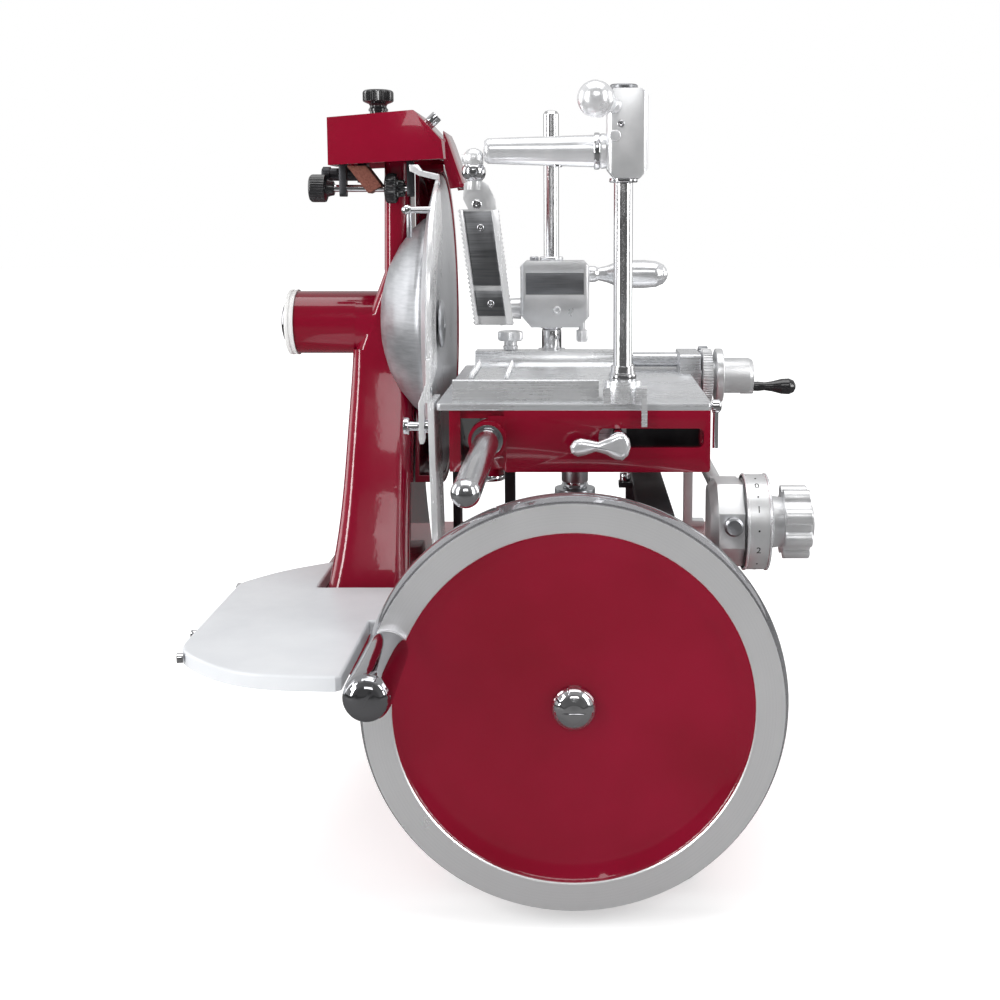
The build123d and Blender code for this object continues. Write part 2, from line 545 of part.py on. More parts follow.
with BuildPart() as carriage_plate:
    block(-123, 123, car_y0, car_y1, car_z1, plate_z1)
    fillet(carriage_plate.edges().filter_by(Axis.Z), 4)
    block(-55, 40, -156, -144, 430, 445, mode=Mode.SUBTRACT)
    # bearing block of the feed tube at the right-hand end
    block(112, 134, 56, 122, plate_z1 - 0.01, 462)
    block(124, 134, 56, 122, 420, 462)
    fillet(carriage_plate.edges().filter_by(Axis.X).group_by(Axis.Z)[-1], 4)
    bar((64, block_y, screw_z), (126, block_y, screw_z), tube_r)
    bar((60, block_y, screw_z), (140, block_y, screw_z), screw_r + run, mode=Mode.SUBTRACT)
    bar((123, 70, 437.9), (140, 70, 437.9), 6 + run, mode=Mode.SUBTRACT)
save(carriage_plate.part, "carriage_plate")

with BuildPart() as carriage_fittings:
    # drive pin with its collar ring
    turned_z([(0, 396), (7, 396), (7, 329), (10, 329), (10, 326), (0, 326)], pin_x, pin_y)
    # ring that closes the boss under the rail
    turned_z([(0, 373), (13, 373), (13.5, 372), (13.5, 368.5), (12.5, 367.5), (0, 367.5)], rail_x, boss_y)
    # roller pin
    bar((50, 62, 370), (94, 62, 370), 6)
    # stud and domed nut at the right-hand end of the plate
    turned_x([(123, 0), (123, 3), (124, 3), (124, 6), (130, 6), (132, 3.5), (132.5, 0)], -158, 438)
    bar((127, -158, 400), (127, -158, 434), 2.6)
    # bronze bushes on the round rail
    for y0, y1 in ((-178, -150), (-42, -11)):
        turned_y([(rail_r + run, y0), (14, y0), (14, y1), (rail_r + run, y1)], rail_x, rail_z)
save(carriage_fittings.part, "carriage_fittings")

with BuildPart() as carriage_roller:
    turned_x([(60, 6 + run), (60, 12), (61, 12), (61, 17), (62, 17.9), (82, 17.9), (83, 17), (83, 12), (84, 12), (84, 6 + run)],
             62, 370)
save(carriage_roller.part, "carriage_roller")

# ================================================================= CONNECTING ROD
# hinged on the drive pin; its crank eye stops just above the crank pin
rod_y = pin_y + rod_len
with BuildPart() as connecting_rod:
    block(-8, 8, pin_y, rod_y, rod_z0, rod_z1)
    bar((0, rod_y, rod_z0), (0, rod_y, rod_z1), 11)
    bar((0, pin_y, 329.3), (0, pin_y, 352), 14)
    bar((0, pin_y, 320), (0, pin_y, 360), 7 + run, mode=Mode.SUBTRACT)
    bar((0, rod_y, 320), (0, rod_y, 360), 6 + run, mode=Mode.SUBTRACT)
save(connecting_rod.part, "connecting_rod")

# ================================================================= TRAY
with BuildPart() as meat_tray:
    block(tray_x0, tray_x1, -160, 122, plate_z1, plate_z1 + 5)
    block(tray_x0, 22, -160, -156, plate_z1, 462)
    slab([(-156, 446), (-156, 458), (-153.5, 450), (-149, 446)], Plane.YZ.offset(tray_x0), 131)
    block(tray_x0, tray_x1, 98, 122, plate_z1, 461)
    slab([(98, 446), (98, 457), (94, 449), (89, 446)], Plane.YZ.offset(tray_x0), tray_x1 - tray_x0)
    fillet(meat_tray.edges().filter_by(Axis.X).group_by(Axis.Z)[-1], 1.5)
    # column seats
    bar((front_col[0], front_col[1], plate_z1), (front_col[0], front_col[1], 461), 17)
    block(26, tray_x1, -165, -139, plate_z1, 455)
    block(rear_col[0] - 15, rear_col[0] + 15, 110, 139, plate_z1, 461)
    bar((front_col[0], front_col[1], 444), (front_col[0], front_col[1], 470), col_r, mode=Mode.SUBTRACT)
    bar((rear_col[0], rear_col[1], 444), (rear_col[0], rear_col[1], 470), col_r, mode=Mode.SUBTRACT)
    # feed screw bore, wide where the feed tube enters
    bar((tray_x0 - 1, block_y, screw_z), (tray_x1 + 1, block_y, screw_z), screw_r + run, mode=Mode.SUBTRACT)
    bar((-14, block_y, screw_z), (tray_x1 + 1, block_y, screw_z), tube_r + 0.4, mode=Mode.SUBTRACT)
    # clamp screw hole
    bar((-71, block_y, 452), (-71, block_y, 470), 4 + run, mode=Mode.SUBTRACT)
    # scale mark at the right-hand front corner
    block(60, 65, -171, -165.5, 421, 456)
    block(55, 65, -171, -158, 446, 456)
    # carrier through the slot of the plate to the slot lever
    block(-46, -26, -154.5, -145.5, 404, plate_z1 + 1)
    block(-46, 47, -154.5, -145.5, 402, 418)
    bar((39, -160, 410), (39, -140, 410), 6 + run, mode=Mode.SUBTRACT)
save(meat_tray.part, "meat_tray")

with BuildPart() as tray_columns:
    for cx, cy in (front_col, rear_col):
        turned_z([(0, 444), (col_r, 444), (col_r, col_top - 4), (col_r - 2, col_top - 1), (col_r - 5, col_top), (0, col_top)], cx, cy)
    turned_z([(col_r, 461), (12.5, 461), (12.5, 466), (11, 468), (10.5, 474), (col_r, 474)], *front_col)
    turned_z([(col_r, 461), (11, 461), (11, 482), (10, 483.5), (col_r, 483.5)], *rear_col)
save(tray_columns.part, "tray_columns")

with BuildPart() as slot_lever:
    turned_y([(0, -140), (6, -140), (6, -157), (8.2, -157), (8.2, -178), (0, -178)], 39, 410)
    with BuildSketch(Plane.XZ.offset(178)) as s:
        with BuildLine():
            Spline((49, 412), (44, 417.5), (33, 415), (20, 409.5), (8, 413), (0, 411), (-4.5, 404), (-1, 397), (8, 396.5), (20, 400),
                   (30, 397), (42, 392.5), (48.5, 398), periodic=True)
        make_face()
    extrude(amount=9)
save(slot_lever.part, "slot_lever")

with BuildPart() as tray_knob:
    turned_z([(0, 455.9), (4, 455.9), (4, 461.5), (7, 461.5), (7, 471.5), (13, 471.5), (13.8, 472.5), (13.8, 481), (12.5, 482.5), (0, 482.5)],
             -71, block_y)
save(tray_knob.part, "tray_knob")

# ================================================================= FEED
gear_y, gear_z = 70.0, 437.9
gear_dir = math.degrees(math.atan2(screw_z - gear_z, block_y - gear_y))
with BuildPart() as feed_screw:
    bar((-108, block_y, screw_z), (147, block_y, screw_z), screw_r)
    spur_gear(136, 146, block_y, screw_z, 28, 1.0, phase=gear_dir + 180)
save(feed_screw.part, "feed_screw")

# big gear on its stub shaft: centre distance 42 from the screw
with BuildPart() as feed_gear:
    spur_gear(136, 146, gear_y, gear_z, 56, 1.0, phase=gear_dir + 180.0 / 56)
    bar((123.5, gear_y, gear_z), (160, gear_y, gear_z), 6)
    turned_x([(146, 6), (146, 16), (150, 16), (150, 6)], gear_y, gear_z)
save(feed_gear.part, "feed_gear")

with BuildPart() as feed_crank:
    turned_x([(150, 6), (150, 28), (151, 29), (157, 29), (158, 28), (158, 19), (186, 19), (190, 17), (191, 14), (191, 0), (160, 0), (160, 6)],
             gear_y, gear_z)
    block(178, 191, gear_y - 7, gear_y + 7, 420, gear_z)
    bar((178, gear_y, 426), (191, gear_y, 426), 8)
    bar((184, gear_y, 426), (234, gear_y, 426), 3)
save(feed_crank.part, "feed_crank")

with BuildPart() as feed_handle:
    turned_x([(192, 3 + run), (192, 5), (197, 5.2), (204, 4.4), (212, 5.6), (222, 8.2), (230, 8.6), (235, 6.5), (237, 3), (237, 0),
              (234.5, 0), (234.5, 3 + run)], gear_y, 426)
save(feed_handle.part, "feed_handle")

# ================================================================= FRONT MEAT PRESS
fx, fy = front_col
with BuildPart() as front_head:
    slab([(fx - 15, 648), (fx - 8, 640), (fx + 14, 640), (fx + 21, 648), (fx + 21, 712), (fx + 15, 717), (fx - 9, 717), (fx - 15, 712)],
         Plane.XZ.offset(-fy - 17), 34)
    fillet(front_head.edges().filter_by(Axis.Z), 5)
    block(fx + 19.5, fx + 22, fy - 13, fy + 13, 674, 706, mode=Mode.SUBTRACT)
    bar((fx, fy, 630), (fx, fy, 730), col_r + run, mode=Mode.SUBTRACT)
    bar((fx - 12, fy, 664), (fx - 40, fy, 664), 8, mode=Mode.SUBTRACT)
save(front_head.part, "front_head")

with BuildPart() as press_arm:
    turned_x([(fx - 15, 0), (fx - 15, 15), (fx - 19, 15.5), (fx - 22, 14.2), (-60, 11.6), (-76, 11), (-79, 9), (-80, 0)], fy, 664)
    bar((fx - 12, fy, 664), (fx - 16, fy, 664), 8)
save(press_arm.part, "press_arm")

# swivel ball at the arm's tip and the backing bar of the plate
sw_x, sw_z = -88.5, 652.0
with BuildPart() as press_backing:
    slab([(-97, 636), (-84, 640), (-76, 634), (-70, 622), (-57.5, 511), (-66, 510), (-74, 560), (-92, 610), (-98, 622)],
         Plane.XZ.offset(-fy - 3), 5)
    bar((sw_x, fy, 630), (sw_x, fy, 648), 6)
    with Locations((sw_x, fy, sw_z + 5)):
        Sphere(9.5)
    bar((-98.8, fy, sw_z + 5), (-84, fy, sw_z + 5), 4)
    block(-80.3, -60, fy - 20, fy + 20, 641, 680, mode=Mode.SUBTRACT)
save(press_backing.part, "press_backing")

with BuildPart() as press_plate:
    # toothed strip: both long edges are serrated
    top, bot, lean = 613.0, 511.0, 13.0
    teeth = 26
    left, right = [], []
    for i in range(teeth + 1):
        z = top - (top - bot) * i / teeth
        dx = lean * i / teeth
        left.append((-101 + dx, z))
        right.append((-67.5 + dx, z))
        if i < teeth:
            zm = z - (top - bot) / teeth * 0.45
            left.append((-102.6 + dx, zm))
            right.append((-66.2 + dx, zm))
    slab(left + right[::-1], Plane.XZ.offset(-fy + 3), 3.5)
    # side flange towards the meat
    slab([(-101, 612), (-98, 612), (-85, 512), (-88, 512)], Plane.XZ.offset(-fy - 9), 12)
save(press_plate.part, "press_plate")

with BuildPart() as front_grip:
    bar((fx - 9, fy - 17.4, 702), (fx - 9, fy - 25, 702), 7)
    bar((fx - 9, fy - 24, 702), (fx - 16, fy - 31, 704), 7)
    with Locations(Plane(origin=(fx - 25, fy - 46, 705), z_dir=(-11, -20, 1.0))):
        Sphere(15.5)
    bar((fx - 13.5, fy - 29, 703.5), (fx - 21, fy - 40, 704.8), 8, 14)
save(front_grip.part, "front_grip")

# ================================================================= REAR MEAT PRESS
rx, ry = rear_col
with BuildPart() as rear_head:
    slab([(-60, 500), (-48, 486), (4, 486), (16, 498), (16, 552), (10, 559), (-54, 559), (-60, 553)], Plane.XZ.offset(-ry - 17), 34)
    fillet(rear_head.edges().filter_by(Axis.Z), 4)
    block(-54, 10, ry - 18, ry - 15.5, 522, 546, mode=Mode.SUBTRACT)
    bar((-60, ry, 506), (-73, ry, 506), 12, 11)
    bar((rx, ry, 470), (rx, ry, 600), col_r + run, mode=Mode.SUBTRACT)
    bar((8, ry, 470), (8, ry, 500), 3.5 + run, mode=Mode.SUBTRACT)
save(rear_head.part, "rear_head")

with BuildPart() as rear_grip:
    turned_x([(16, 0), (16, 9), (22, 9), (26, 7), (36, 9.5), (46, 13.5), (58, 15.3), (76, 15.6), (90, 14.2), (98, 10.5), (102, 5), (103, 0)],
             ry, 544)
save(rear_grip.part, "rear_grip")

with BuildPart() as rear_knob:
    turned_z([(0, 499.5), (3.5, 499.5), (3.5, 482), (6.6, 482), (6.6, 470), (5.5, 469), (0, 469)], 8, ry)
save(rear_knob.part, "rear_knob")

# ================================================================= THICKNESS CONTROL
with BuildPart() as control_bracket:
    slab([(126, base_top), (151, base_top), (151, 290), (148, 318), (126, 318)], Plane.XZ.offset(100), 26)
    block(126, 151, -127, -118, 300, 366)
    # bar along which the feed lever of the carriage runs
    bar((133, -126, 357), (133, 196, 357), 7)
    block(128, 138, 180, 196, base_top, 352)
    block(128, 152, 180, 196, base_top, base_top + 7)
save(control_bracket.part, "control_bracket")

with BuildPart() as control_housing:
    with BuildSketch(Plane.YZ.offset(122)) as s:
        with Locations((dial_y, dial_z)):
            RegularPolygon(41, 8, rotation=22.5)
    extrude(amount=30)
    chamfer(control_housing.faces().sort_by(Axis.X)[0].edges(), 7)
    block(110, 170, -127, -90, 280, 400, mode=Mode.SUBTRACT)
    bar((151.5, dial_y, dial_z), (153, dial_y, dial_z), 30)
    block(151, 154, -127, -90, 280, 400, mode=Mode.SUBTRACT)
    bar((140, dial_y, dial_z), (170, dial_y, dial_z), 6 + run, mode=Mode.SUBTRACT)
    # bore of the push button in the front face
    bar((141, dial_y - 60, 335), (141, dial_y - 13, 335), 7 + run, mode=Mode.SUBTRACT)
save(control_housing.part, "control_housing")

with BuildPart() as dial_ring:
    turned_x([(153.5, 6), (153.5, 42.5), (155, 43.5), (174, 43.5), (176, 42), (176, 21), (190, 21), (190, 6)], dial_y, dial_z)
    turned_x([(141, 0), (141, 6), (153.5, 6), (190, 6), (196, 6), (196, 0)], dial_y, dial_z)
save(dial_ring.part, "dial_ring")

with BuildPart() as dial_knob:
    with BuildSketch(Plane.YZ.offset(190)) as s:
        with Locations((dial_y, dial_z)):
            Circle(28)
            with PolarLocations(26, 8, start_angle=22.5):
                Circle(7.8)
            with PolarLocations(36.5, 8):
                Circle(6, mode=Mode.SUBTRACT)
    extrude(amount=24)
    fillet(dial_knob.faces().sort_by(Axis.X)[-1].edges(), 1.5)
    bar((214, dial_y, dial_z), (218, dial_y, dial_z), 15)
    bar((189, dial_y, dial_z), (196, dial_y, dial_z), 6, mode=Mode.SUBTRACT)
save(dial_knob.part, "dial_knob")

with BuildPart() as push_button:
    turned_y([(0, -165), (7, -165), (7, -190), (8.5, -190), (8.5, -193), (6.5, -194.5), (0, -195)], 141, 335)
save(push_button.part, "push_button")

# ================================================================= SHARPENER
with BuildPart() as sharpener_knob:
    turned_z([(0, 691), (8.4, 691), (8.4, 710), (9.8, 710), (9.8, 712.5), (8.3, 715), (9.2, 717.5), (14.4, 719.5), (15.3, 721), (15.3, 728),
              (14.2, 730.3), (12, 731), (0, 731)], knob_x, -5)
save(sharpener_knob.part, "sharpener_knob")

with BuildPart() as sharpener_block:
    # steel block in the hood that carries the spindles
    block(-214, -152, -54, -31.5, 660, 690)
    block(-226.6, -220, -49, -39, 626, 672)
    block(-226.6, -213, -49, -32, 668, 690)
    block(-212, -203, -30.5, -12, 640, 664)
    block(-212, -203, -34, -12, 662, 690)
    block(-161.5, -155, -49, -39, 626, 664)
    fillet(sharpener_block.edges().filter_by(Axis.X).group_by(Axis.Z)[0], 3)
    # plain end of the locating spindle
    bar((-248, -20, 648), (-206, -20, 648), 6.2)
    bar((-247, -20, 648), (-240, -20, 648), 7.6)
    bar((-229, -44, 634), (-150, -44, 634), 3.5 + run, mode=Mode.SUBTRACT)
save(sharpener_block.part, "sharpener_block")

with BuildPart() as grind_knob:
    turned_x([(-256, 0), (-256, 12), (-254, 13.5), (-240, 13.5), (-238, 12), (-236, 7), (-232, 6), (-232, 3.5), (-160, 3.5), (-160, 0)],
             -44, 634)
save(grind_knob.part, "grind_knob")

with BuildPart() as grind_stone:
    slab([(-217.4, 655), (-199, 655), (-184.6, 636), (-197.3, 629)], Plane.XZ.offset(32), 26)
    bar((-215, -44, 634), (-180, -44, 634), 3.5, mode=Mode.SUBTRACT)
save(grind_stone.part, "grind_stone")

with BuildPart() as hone_knob:
    turned_x([(-182.8, 3.5 + run), (-182.8, 13), (-181, 14.5), (-172.5, 14.5), (-171, 13), (-170.6, 8.6), (-164.5, 8.2), (-163.5, 7.4),
              (-163.5, 3.5 + run)], -44, 634)
save(hone_knob.part, "hone_knob")

parts_made = len(os.listdir("parts"))
print("parts:", parts_made)
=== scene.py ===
import bpy
import bmesh
import math
from mathutils import Vector, Matrix, Quaternion


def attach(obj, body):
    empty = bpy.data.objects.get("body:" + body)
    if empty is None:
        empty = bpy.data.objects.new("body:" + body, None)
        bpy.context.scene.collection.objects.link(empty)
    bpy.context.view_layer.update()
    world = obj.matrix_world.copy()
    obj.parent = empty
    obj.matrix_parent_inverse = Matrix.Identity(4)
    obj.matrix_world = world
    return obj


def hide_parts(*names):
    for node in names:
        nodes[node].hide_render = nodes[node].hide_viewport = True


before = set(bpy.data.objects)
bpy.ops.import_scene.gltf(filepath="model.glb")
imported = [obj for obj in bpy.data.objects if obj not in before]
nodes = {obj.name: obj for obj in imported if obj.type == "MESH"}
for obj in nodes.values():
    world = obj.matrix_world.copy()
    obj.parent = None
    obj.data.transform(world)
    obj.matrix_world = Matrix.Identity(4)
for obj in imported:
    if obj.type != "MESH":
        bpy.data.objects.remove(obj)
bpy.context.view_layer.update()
scene = bpy.context.scene
scene.view_settings.view_transform = "Standard"

MM = 0.001


# ------------------------------------------------------------------ materials
def new_mat(name, base, rough=0.4, metal=0.0, spec=0.5, coat=0.0, coat_rough=0.05):
    m = bpy.data.materials.new(name)
    m.use_nodes = True
    nt = m.node_tree
    b = nt.nodes["Principled BSDF"]
    b.inputs["Base Color"].default_value = (*base, 1)
    b.inputs["Roughness"].default_value = rough
    b.inputs["Metallic"].default_value = metal
    b.inputs["Specular IOR Level"].default_value = spec
    b.inputs["Coat Weight"].default_value = coat
    b.inputs["Coat Roughness"].default_value = coat_rough
    return m, nt, b


def coords(nt, scale=(1, 1, 1), loc=(0, 0, 0)):
    tc = nt.nodes.new("ShaderNodeTexCoord")
    mp = nt.nodes.new("ShaderNodeMapping")
    mp.inputs["Scale"].default_value = scale
    mp.inputs["Location"].default_value = loc
    nt.links.new(tc.outputs["Object"], mp.inputs["Vector"])
    return mp.outputs["Vector"]


def ring_coords(nt, axis, centre, fine, along=1.0):
    """Vector (radius * fine, place along the axis, 0) of a turned surface."""
    tc = nt.nodes.new("ShaderNodeTexCoord")
    mp = nt.nodes.new("ShaderNodeMapping")
    mp.inputs["Location"].default_value = tuple(-c for c in centre)
    nt.links.new(tc.outputs["Object"], mp.inputs["Vector"])
    sep = nt.nodes.new("ShaderNodeSeparateXYZ")
    nt.links.new(mp.outputs["Vector"], sep.inputs[0])
    others = [i for i in range(3) if i != "XYZ".index(axis)]
    sq = []
    for i in others:
        p = nt.nodes.new("ShaderNodeMath")
        p.operation = "MULTIPLY"
        nt.links.new(sep.outputs[i], p.inputs[0])
        nt.links.new(sep.outputs[i], p.inputs[1])
        sq.append(p)
    add = nt.nodes.new("ShaderNodeMath")
    nt.links.new(sq[0].outputs[0], add.inputs[0])
    nt.links.new(sq[1].outputs[0], add.inputs[1])
    root = nt.nodes.new("ShaderNodeMath")
    root.operation = "SQRT"
    nt.links.new(add.outputs[0], root.inputs[0])
    comb = nt.nodes.new("ShaderNodeCombineXYZ")
    nt.links.new(root.outputs[0], comb.inputs[0])
    nt.links.new(sep.outputs["XYZ".index(axis)], comb.inputs[1])
    m2 = nt.nodes.new("ShaderNodeMapping")
    m2.inputs["Scale"].default_value = (fine, fine * along, 1)
    nt.links.new(comb.outputs[0], m2.inputs["Vector"])
    return m2.outputs["Vector"]


def noise(nt, vec, scale, detail=3.0, rough=0.5):
    n = nt.nodes.new("ShaderNodeTexNoise")
    n.inputs["Scale"].default_value = scale
    n.inputs["Detail"].default_value = detail
    n.inputs["Roughness"].default_value = rough
    nt.links.new(vec, n.inputs["Vector"])
    return n.outputs["Fac"]


def remap(nt, fac, a, b, lo=0.3, hi=0.7):
    r = nt.nodes.new("ShaderNodeMapRange")
    r.inputs["From Min"].default_value = lo
    r.inputs["From Max"].default_value = hi
    r.inputs["To Min"].default_value = a
    r.inputs["To Max"].default_value = b
    nt.links.new(fac, r.inputs["Value"])
    return r.outputs["Result"]


def ramp(nt, fac, stops):
    r = nt.nodes.new("ShaderNodeValToRGB")
    el = r.color_ramp.elements
    while len(el) < len(stops):
        el.new(0.5)
    for e, (p, c) in zip(el, stops):
        e.position = p
        e.color = (*c, 1)
    nt.links.new(fac, r.inputs["Fac"])
    return r.outputs["Color"]


def bump(nt, b, fac, strength, dist, before=None):
    n = nt.nodes.new("ShaderNodeBump")
    n.inputs["Strength"].default_value = strength
    n.inputs["Distance"].default_value = dist
    nt.links.new(fac, n.inputs["Height"])
    if before is not None:
        nt.links.new(before, n.inputs["Normal"])
    nt.links.new(n.outputs["Normal"], b.inputs["Normal"])
    return n.outputs["Normal"]


def enamel(name, dark, light, rough=0.16):
    """Glossy sprayed enamel: slow colour drift, faint orange peel, fine dust marks in the gloss."""
    m, nt, b = new_mat(name, light, rough, 0.0, 0.25, coat=0.8, coat_rough=0.03)
    v = coords(nt)
    slow = noise(nt, v, 9.0, 3.0)
    nt.links.new(ramp(nt, slow, [(0.30, dark), (0.70, light)]), b.inputs["Base Color"])
    marks = noise(nt, v, 320.0, 4.0, 0.6)
    nt.links.new(remap(nt, marks, rough - 0.03, rough + 0.06, 0.35, 0.75), b.inputs["Roughness"])
    n1 = bump(nt, b, noise(nt, v, 260.0, 2.0), 0.045, 0.0006)
    peel = nt.nodes.new("ShaderNodeBump")
    peel.inputs["Strength"].default_value = 0.03
    peel.inputs["Distance"].default_value = 0.0004
    nt.links.new(noise(nt, v, 190.0, 1.0), peel.inputs["Height"])
    nt.links.new(peel.outputs["Normal"], b.inputs["Coat Normal"])
    return m


def brushed(name, dark, light, rough, scale, metal=1.0, depth=0.10, spread=0.08, aniso=0.4):
    """Metal with a grain: scale is the noise scale on each axis, low along the grain."""
    m, nt, b = new_mat(name, light, rough, metal)
    b.inputs["Anisotropic"].default_value = aniso
    grain = noise(nt, coords(nt, scale), 1.0, 5.0, 0.62)
    cloud = noise(nt, coords(nt), 26.0, 4.0, 0.6)
    nt.links.new(ramp(nt, grain, [(0.28, dark), (0.72, light)]), b.inputs["Base Color"])
    mix = nt.nodes.new("ShaderNodeMath")
    nt.links.new(grain, mix.inputs[0])
    nt.links.new(cloud, mix.inputs[1])
    nt.links.new(remap(nt, mix.outputs[0], rough - spread, rough + spread, 0.7, 1.3), b.inputs["Roughness"])
    bump(nt, b, grain, depth, 0.0003)
    return m


def turned(name, dark, light, rough, axis, centre, fine=900.0, metal=1.0, depth=0.10, spread=0.06, coat=0.0):
    """Metal with the fine rings of a lathe or a polishing wheel."""
    m, nt, b = new_mat(name, light, rough, metal, coat=coat)
    rings = noise(nt, ring_coords(nt, axis, centre, fine), 1.0, 4.0, 0.6)
    cloud = noise(nt, coords(nt), 22.0, 4.0, 0.6)
    nt.links.new(ramp(nt, rings, [(0.28, dark), (0.72, light)]), b.inputs["Base Color"])
    mix = nt.nodes.new("ShaderNodeMath")
    nt.links.new(rings, mix.inputs[0])
    nt.links.new(cloud, mix.inputs[1])
    nt.links.new(remap(nt, mix.outputs[0], rough - spread, rough + spread, 0.7, 1.3), b.inputs["Roughness"])
    bump(nt, b, rings, depth, 0.0002)
    return m


def plated(name, base, rough=0.06):
    """Bright plating with faint wipe marks."""
    m, nt, b = new_mat(name, base, rough, 1.0)
    v = coords(nt)
    smear = noise(nt, coords(nt, (30, 90, 45)), 1.0, 5.0, 0.65)
    nt.links.new(remap(nt, smear, rough * 0.6, rough * 1.9, 0.35, 0.7), b.inputs["Roughness"])
    tone = noise(nt, v, 14.0, 2.0)
    nt.links.new(ramp(nt, tone, [(0.3, tuple(c * 0.95 for c in base)), (0.7, base)]), b.inputs["Base Color"])
    bump(nt, b, noise(nt, v, 180.0, 3.0), 0.02, 0.0002)
    return m


def cast_metal(name, dark, light, rough=0.34, grit=700.0, depth=0.22, metal=1.0):
    """Satin, tumbled aluminium casting with a fine even grit."""
    m, nt, b = new_mat(name, light, rough, metal)
    v = coords(nt)
    fine = noise(nt, v, grit, 3.0, 0.65)
    cloud = noise(nt, v, 34.0, 4.0, 0.55)
    nt.links.new(ramp(nt, cloud, [(0.3, dark), (0.7, light)]), b.inputs["Base Color"])
    nt.links.new(remap(nt, cloud, rough - 0.05, rough + 0.08), b.inputs["Roughness"])
    bump(nt, b, fine, depth, 0.0002)
    return m


def plastic(name, dark, light, rough, coat=0.0, grain=500.0, depth=0.05, sss=0.0, sss_col=None):
    m, nt, b = new_mat(name, light, rough, 0.0, 0.5, coat=coat)
    v = coords(nt)
    cloud = noise(nt, v, 18.0, 4.0)
    nt.links.new(ramp(nt, cloud, [(0.3, dark), (0.7, light)]), b.inputs["Base Color"])
    nt.links.new(remap(nt, noise(nt, v, 90.0, 4.0, 0.6), rough - 0.04, rough + 0.07), b.inputs["Roughness"])
    bump(nt, b, noise(nt, v, grain, 3.0, 0.6), depth, 0.0002)
    if sss:
        b.inputs["Subsurface Weight"].default_value = sss
        b.inputs["Subsurface Radius"].default_value = (0.012, 0.011, 0.010)
        b.inputs["Subsurface Scale"].default_value = 1.0
    return m


RED_D, RED_L = (0.175, 0.0012, 0.012), (0.222, 0.0018, 0.019)
M = {}
M["red"] = enamel("red_enamel", RED_D, RED_L)


def rim_metal():
    """Satin turned face inside a mirror-smooth outer band, told apart by their radius on the wheel; the band's grey
    colour, darker than the face, is a painted dark reflection.
    """
    m, nt, b = new_mat("rim_turned_and_plated", (0.8, 0.8, 0.8), 0.2, 0.75)
    rings = noise(nt, ring_coords(nt, "Y", (0, 0, 0.195), 1400.0), 1.0, 4.0, 0.6)
    cloud = noise(nt, coords(nt), 15.0, 4.0, 0.6)
    rad = nt.nodes.new("ShaderNodeSeparateXYZ")
    nt.links.new(ring_coords(nt, "Y", (0, 0, 0.195), 1.0), rad.inputs[0])
    band = remap(nt, rad.outputs[0], 0.0, 1.0, 0.17735, 0.17785)
    face = ramp(nt, rings, [(0.28, (0.86, 0.86, 0.87)), (0.72, (0.98, 0.98, 0.99))])
    mx = nt.nodes.new("ShaderNodeMix")
    mx.data_type = "RGBA"
    nt.links.new(band, mx.inputs["Factor"])
    nt.links.new(face, mx.inputs[6])
    # outer band colour: painted dark reflection, a grey darker than the face standing in for the dark surroundings a
    # mirror band reflects
    nt.links.new(ramp(nt, cloud, [(0.3, (0.40, 0.40, 0.42)), (0.7, (0.50, 0.50, 0.52))]), mx.inputs[7])
    nt.links.new(mx.outputs[2], b.inputs["Base Color"])
    rr = nt.nodes.new("ShaderNodeMix")
    nt.links.new(band, rr.inputs["Factor"])
    nt.links.new(remap(nt, cloud, 0.26, 0.38), rr.inputs["A"])
    nt.links.new(remap(nt, cloud, 0.04, 0.08), rr.inputs["B"])
    nt.links.new(rr.outputs["Result"], b.inputs["Roughness"])
    bump(nt, b, rings, 0.04, 0.0002)
    return m


M["rim_face"] = rim_metal()
M["chrome"] = plated("bright_plating", (0.82, 0.82, 0.84), 0.05)
# darker copy of the bright plating: painted dark reflection, so the crank handle and the hub cap show dark like chrome
# mirroring dark surroundings
M["chrome_painted_dark"] = plated("plating_painted_dark", (0.46, 0.46, 0.48), 0.04)
M["alu"] = cast_metal("satin_aluminium", (0.70, 0.71, 0.72), (0.82, 0.82, 0.83), 0.32, metal=0.72)
M["alu_bright"] = cast_metal("polished_aluminium", (0.84, 0.85, 0.87), (0.94, 0.94, 0.96), 0.22, 420.0, 0.06, metal=0.70)
M["plate"] = brushed("plate_brushed_aluminium", (0.62, 0.63, 0.65), (0.80, 0.81, 0.83), 0.30, (6, 700, 700), metal=0.72, depth=0.08)
M["tray"] = brushed("tray_brushed_aluminium", (0.72, 0.73, 0.75), (0.88, 0.89, 0.90), 0.28, (8, 650, 650), metal=0.72, depth=0.07)
M["col"] = brushed("ground_column", (0.66, 0.66, 0.67), (0.82, 0.82, 0.83), 0.17, (350, 350, 1200), depth=0.05, aniso=0.3)
M["rail"] = turned("ground_rail", (0.60, 0.60, 0.62), (0.80, 0.80, 0.82), 0.16, "Y", (-0.077, 0, 0.410), 900.0, depth=0.06)
M["dome"] = brushed("dome_satin_steel", (0.38, 0.39, 0.41), (0.53, 0.54, 0.56), 0.38, (60, 60, 420), metal=0.8, depth=0.10, aniso=0.5)
M["knife"] = turned("knife_ground_steel", (0.60, 0.61, 0.63), (0.78, 0.79, 0.81), 0.32, "X", (0, 0, 0.499), 1500.0, metal=0.7, depth=0.08)
M["steel"] = cast_metal("plain_steel", (0.36, 0.37, 0.39), (0.56, 0.57, 0.59), 0.32, 500.0, 0.12)
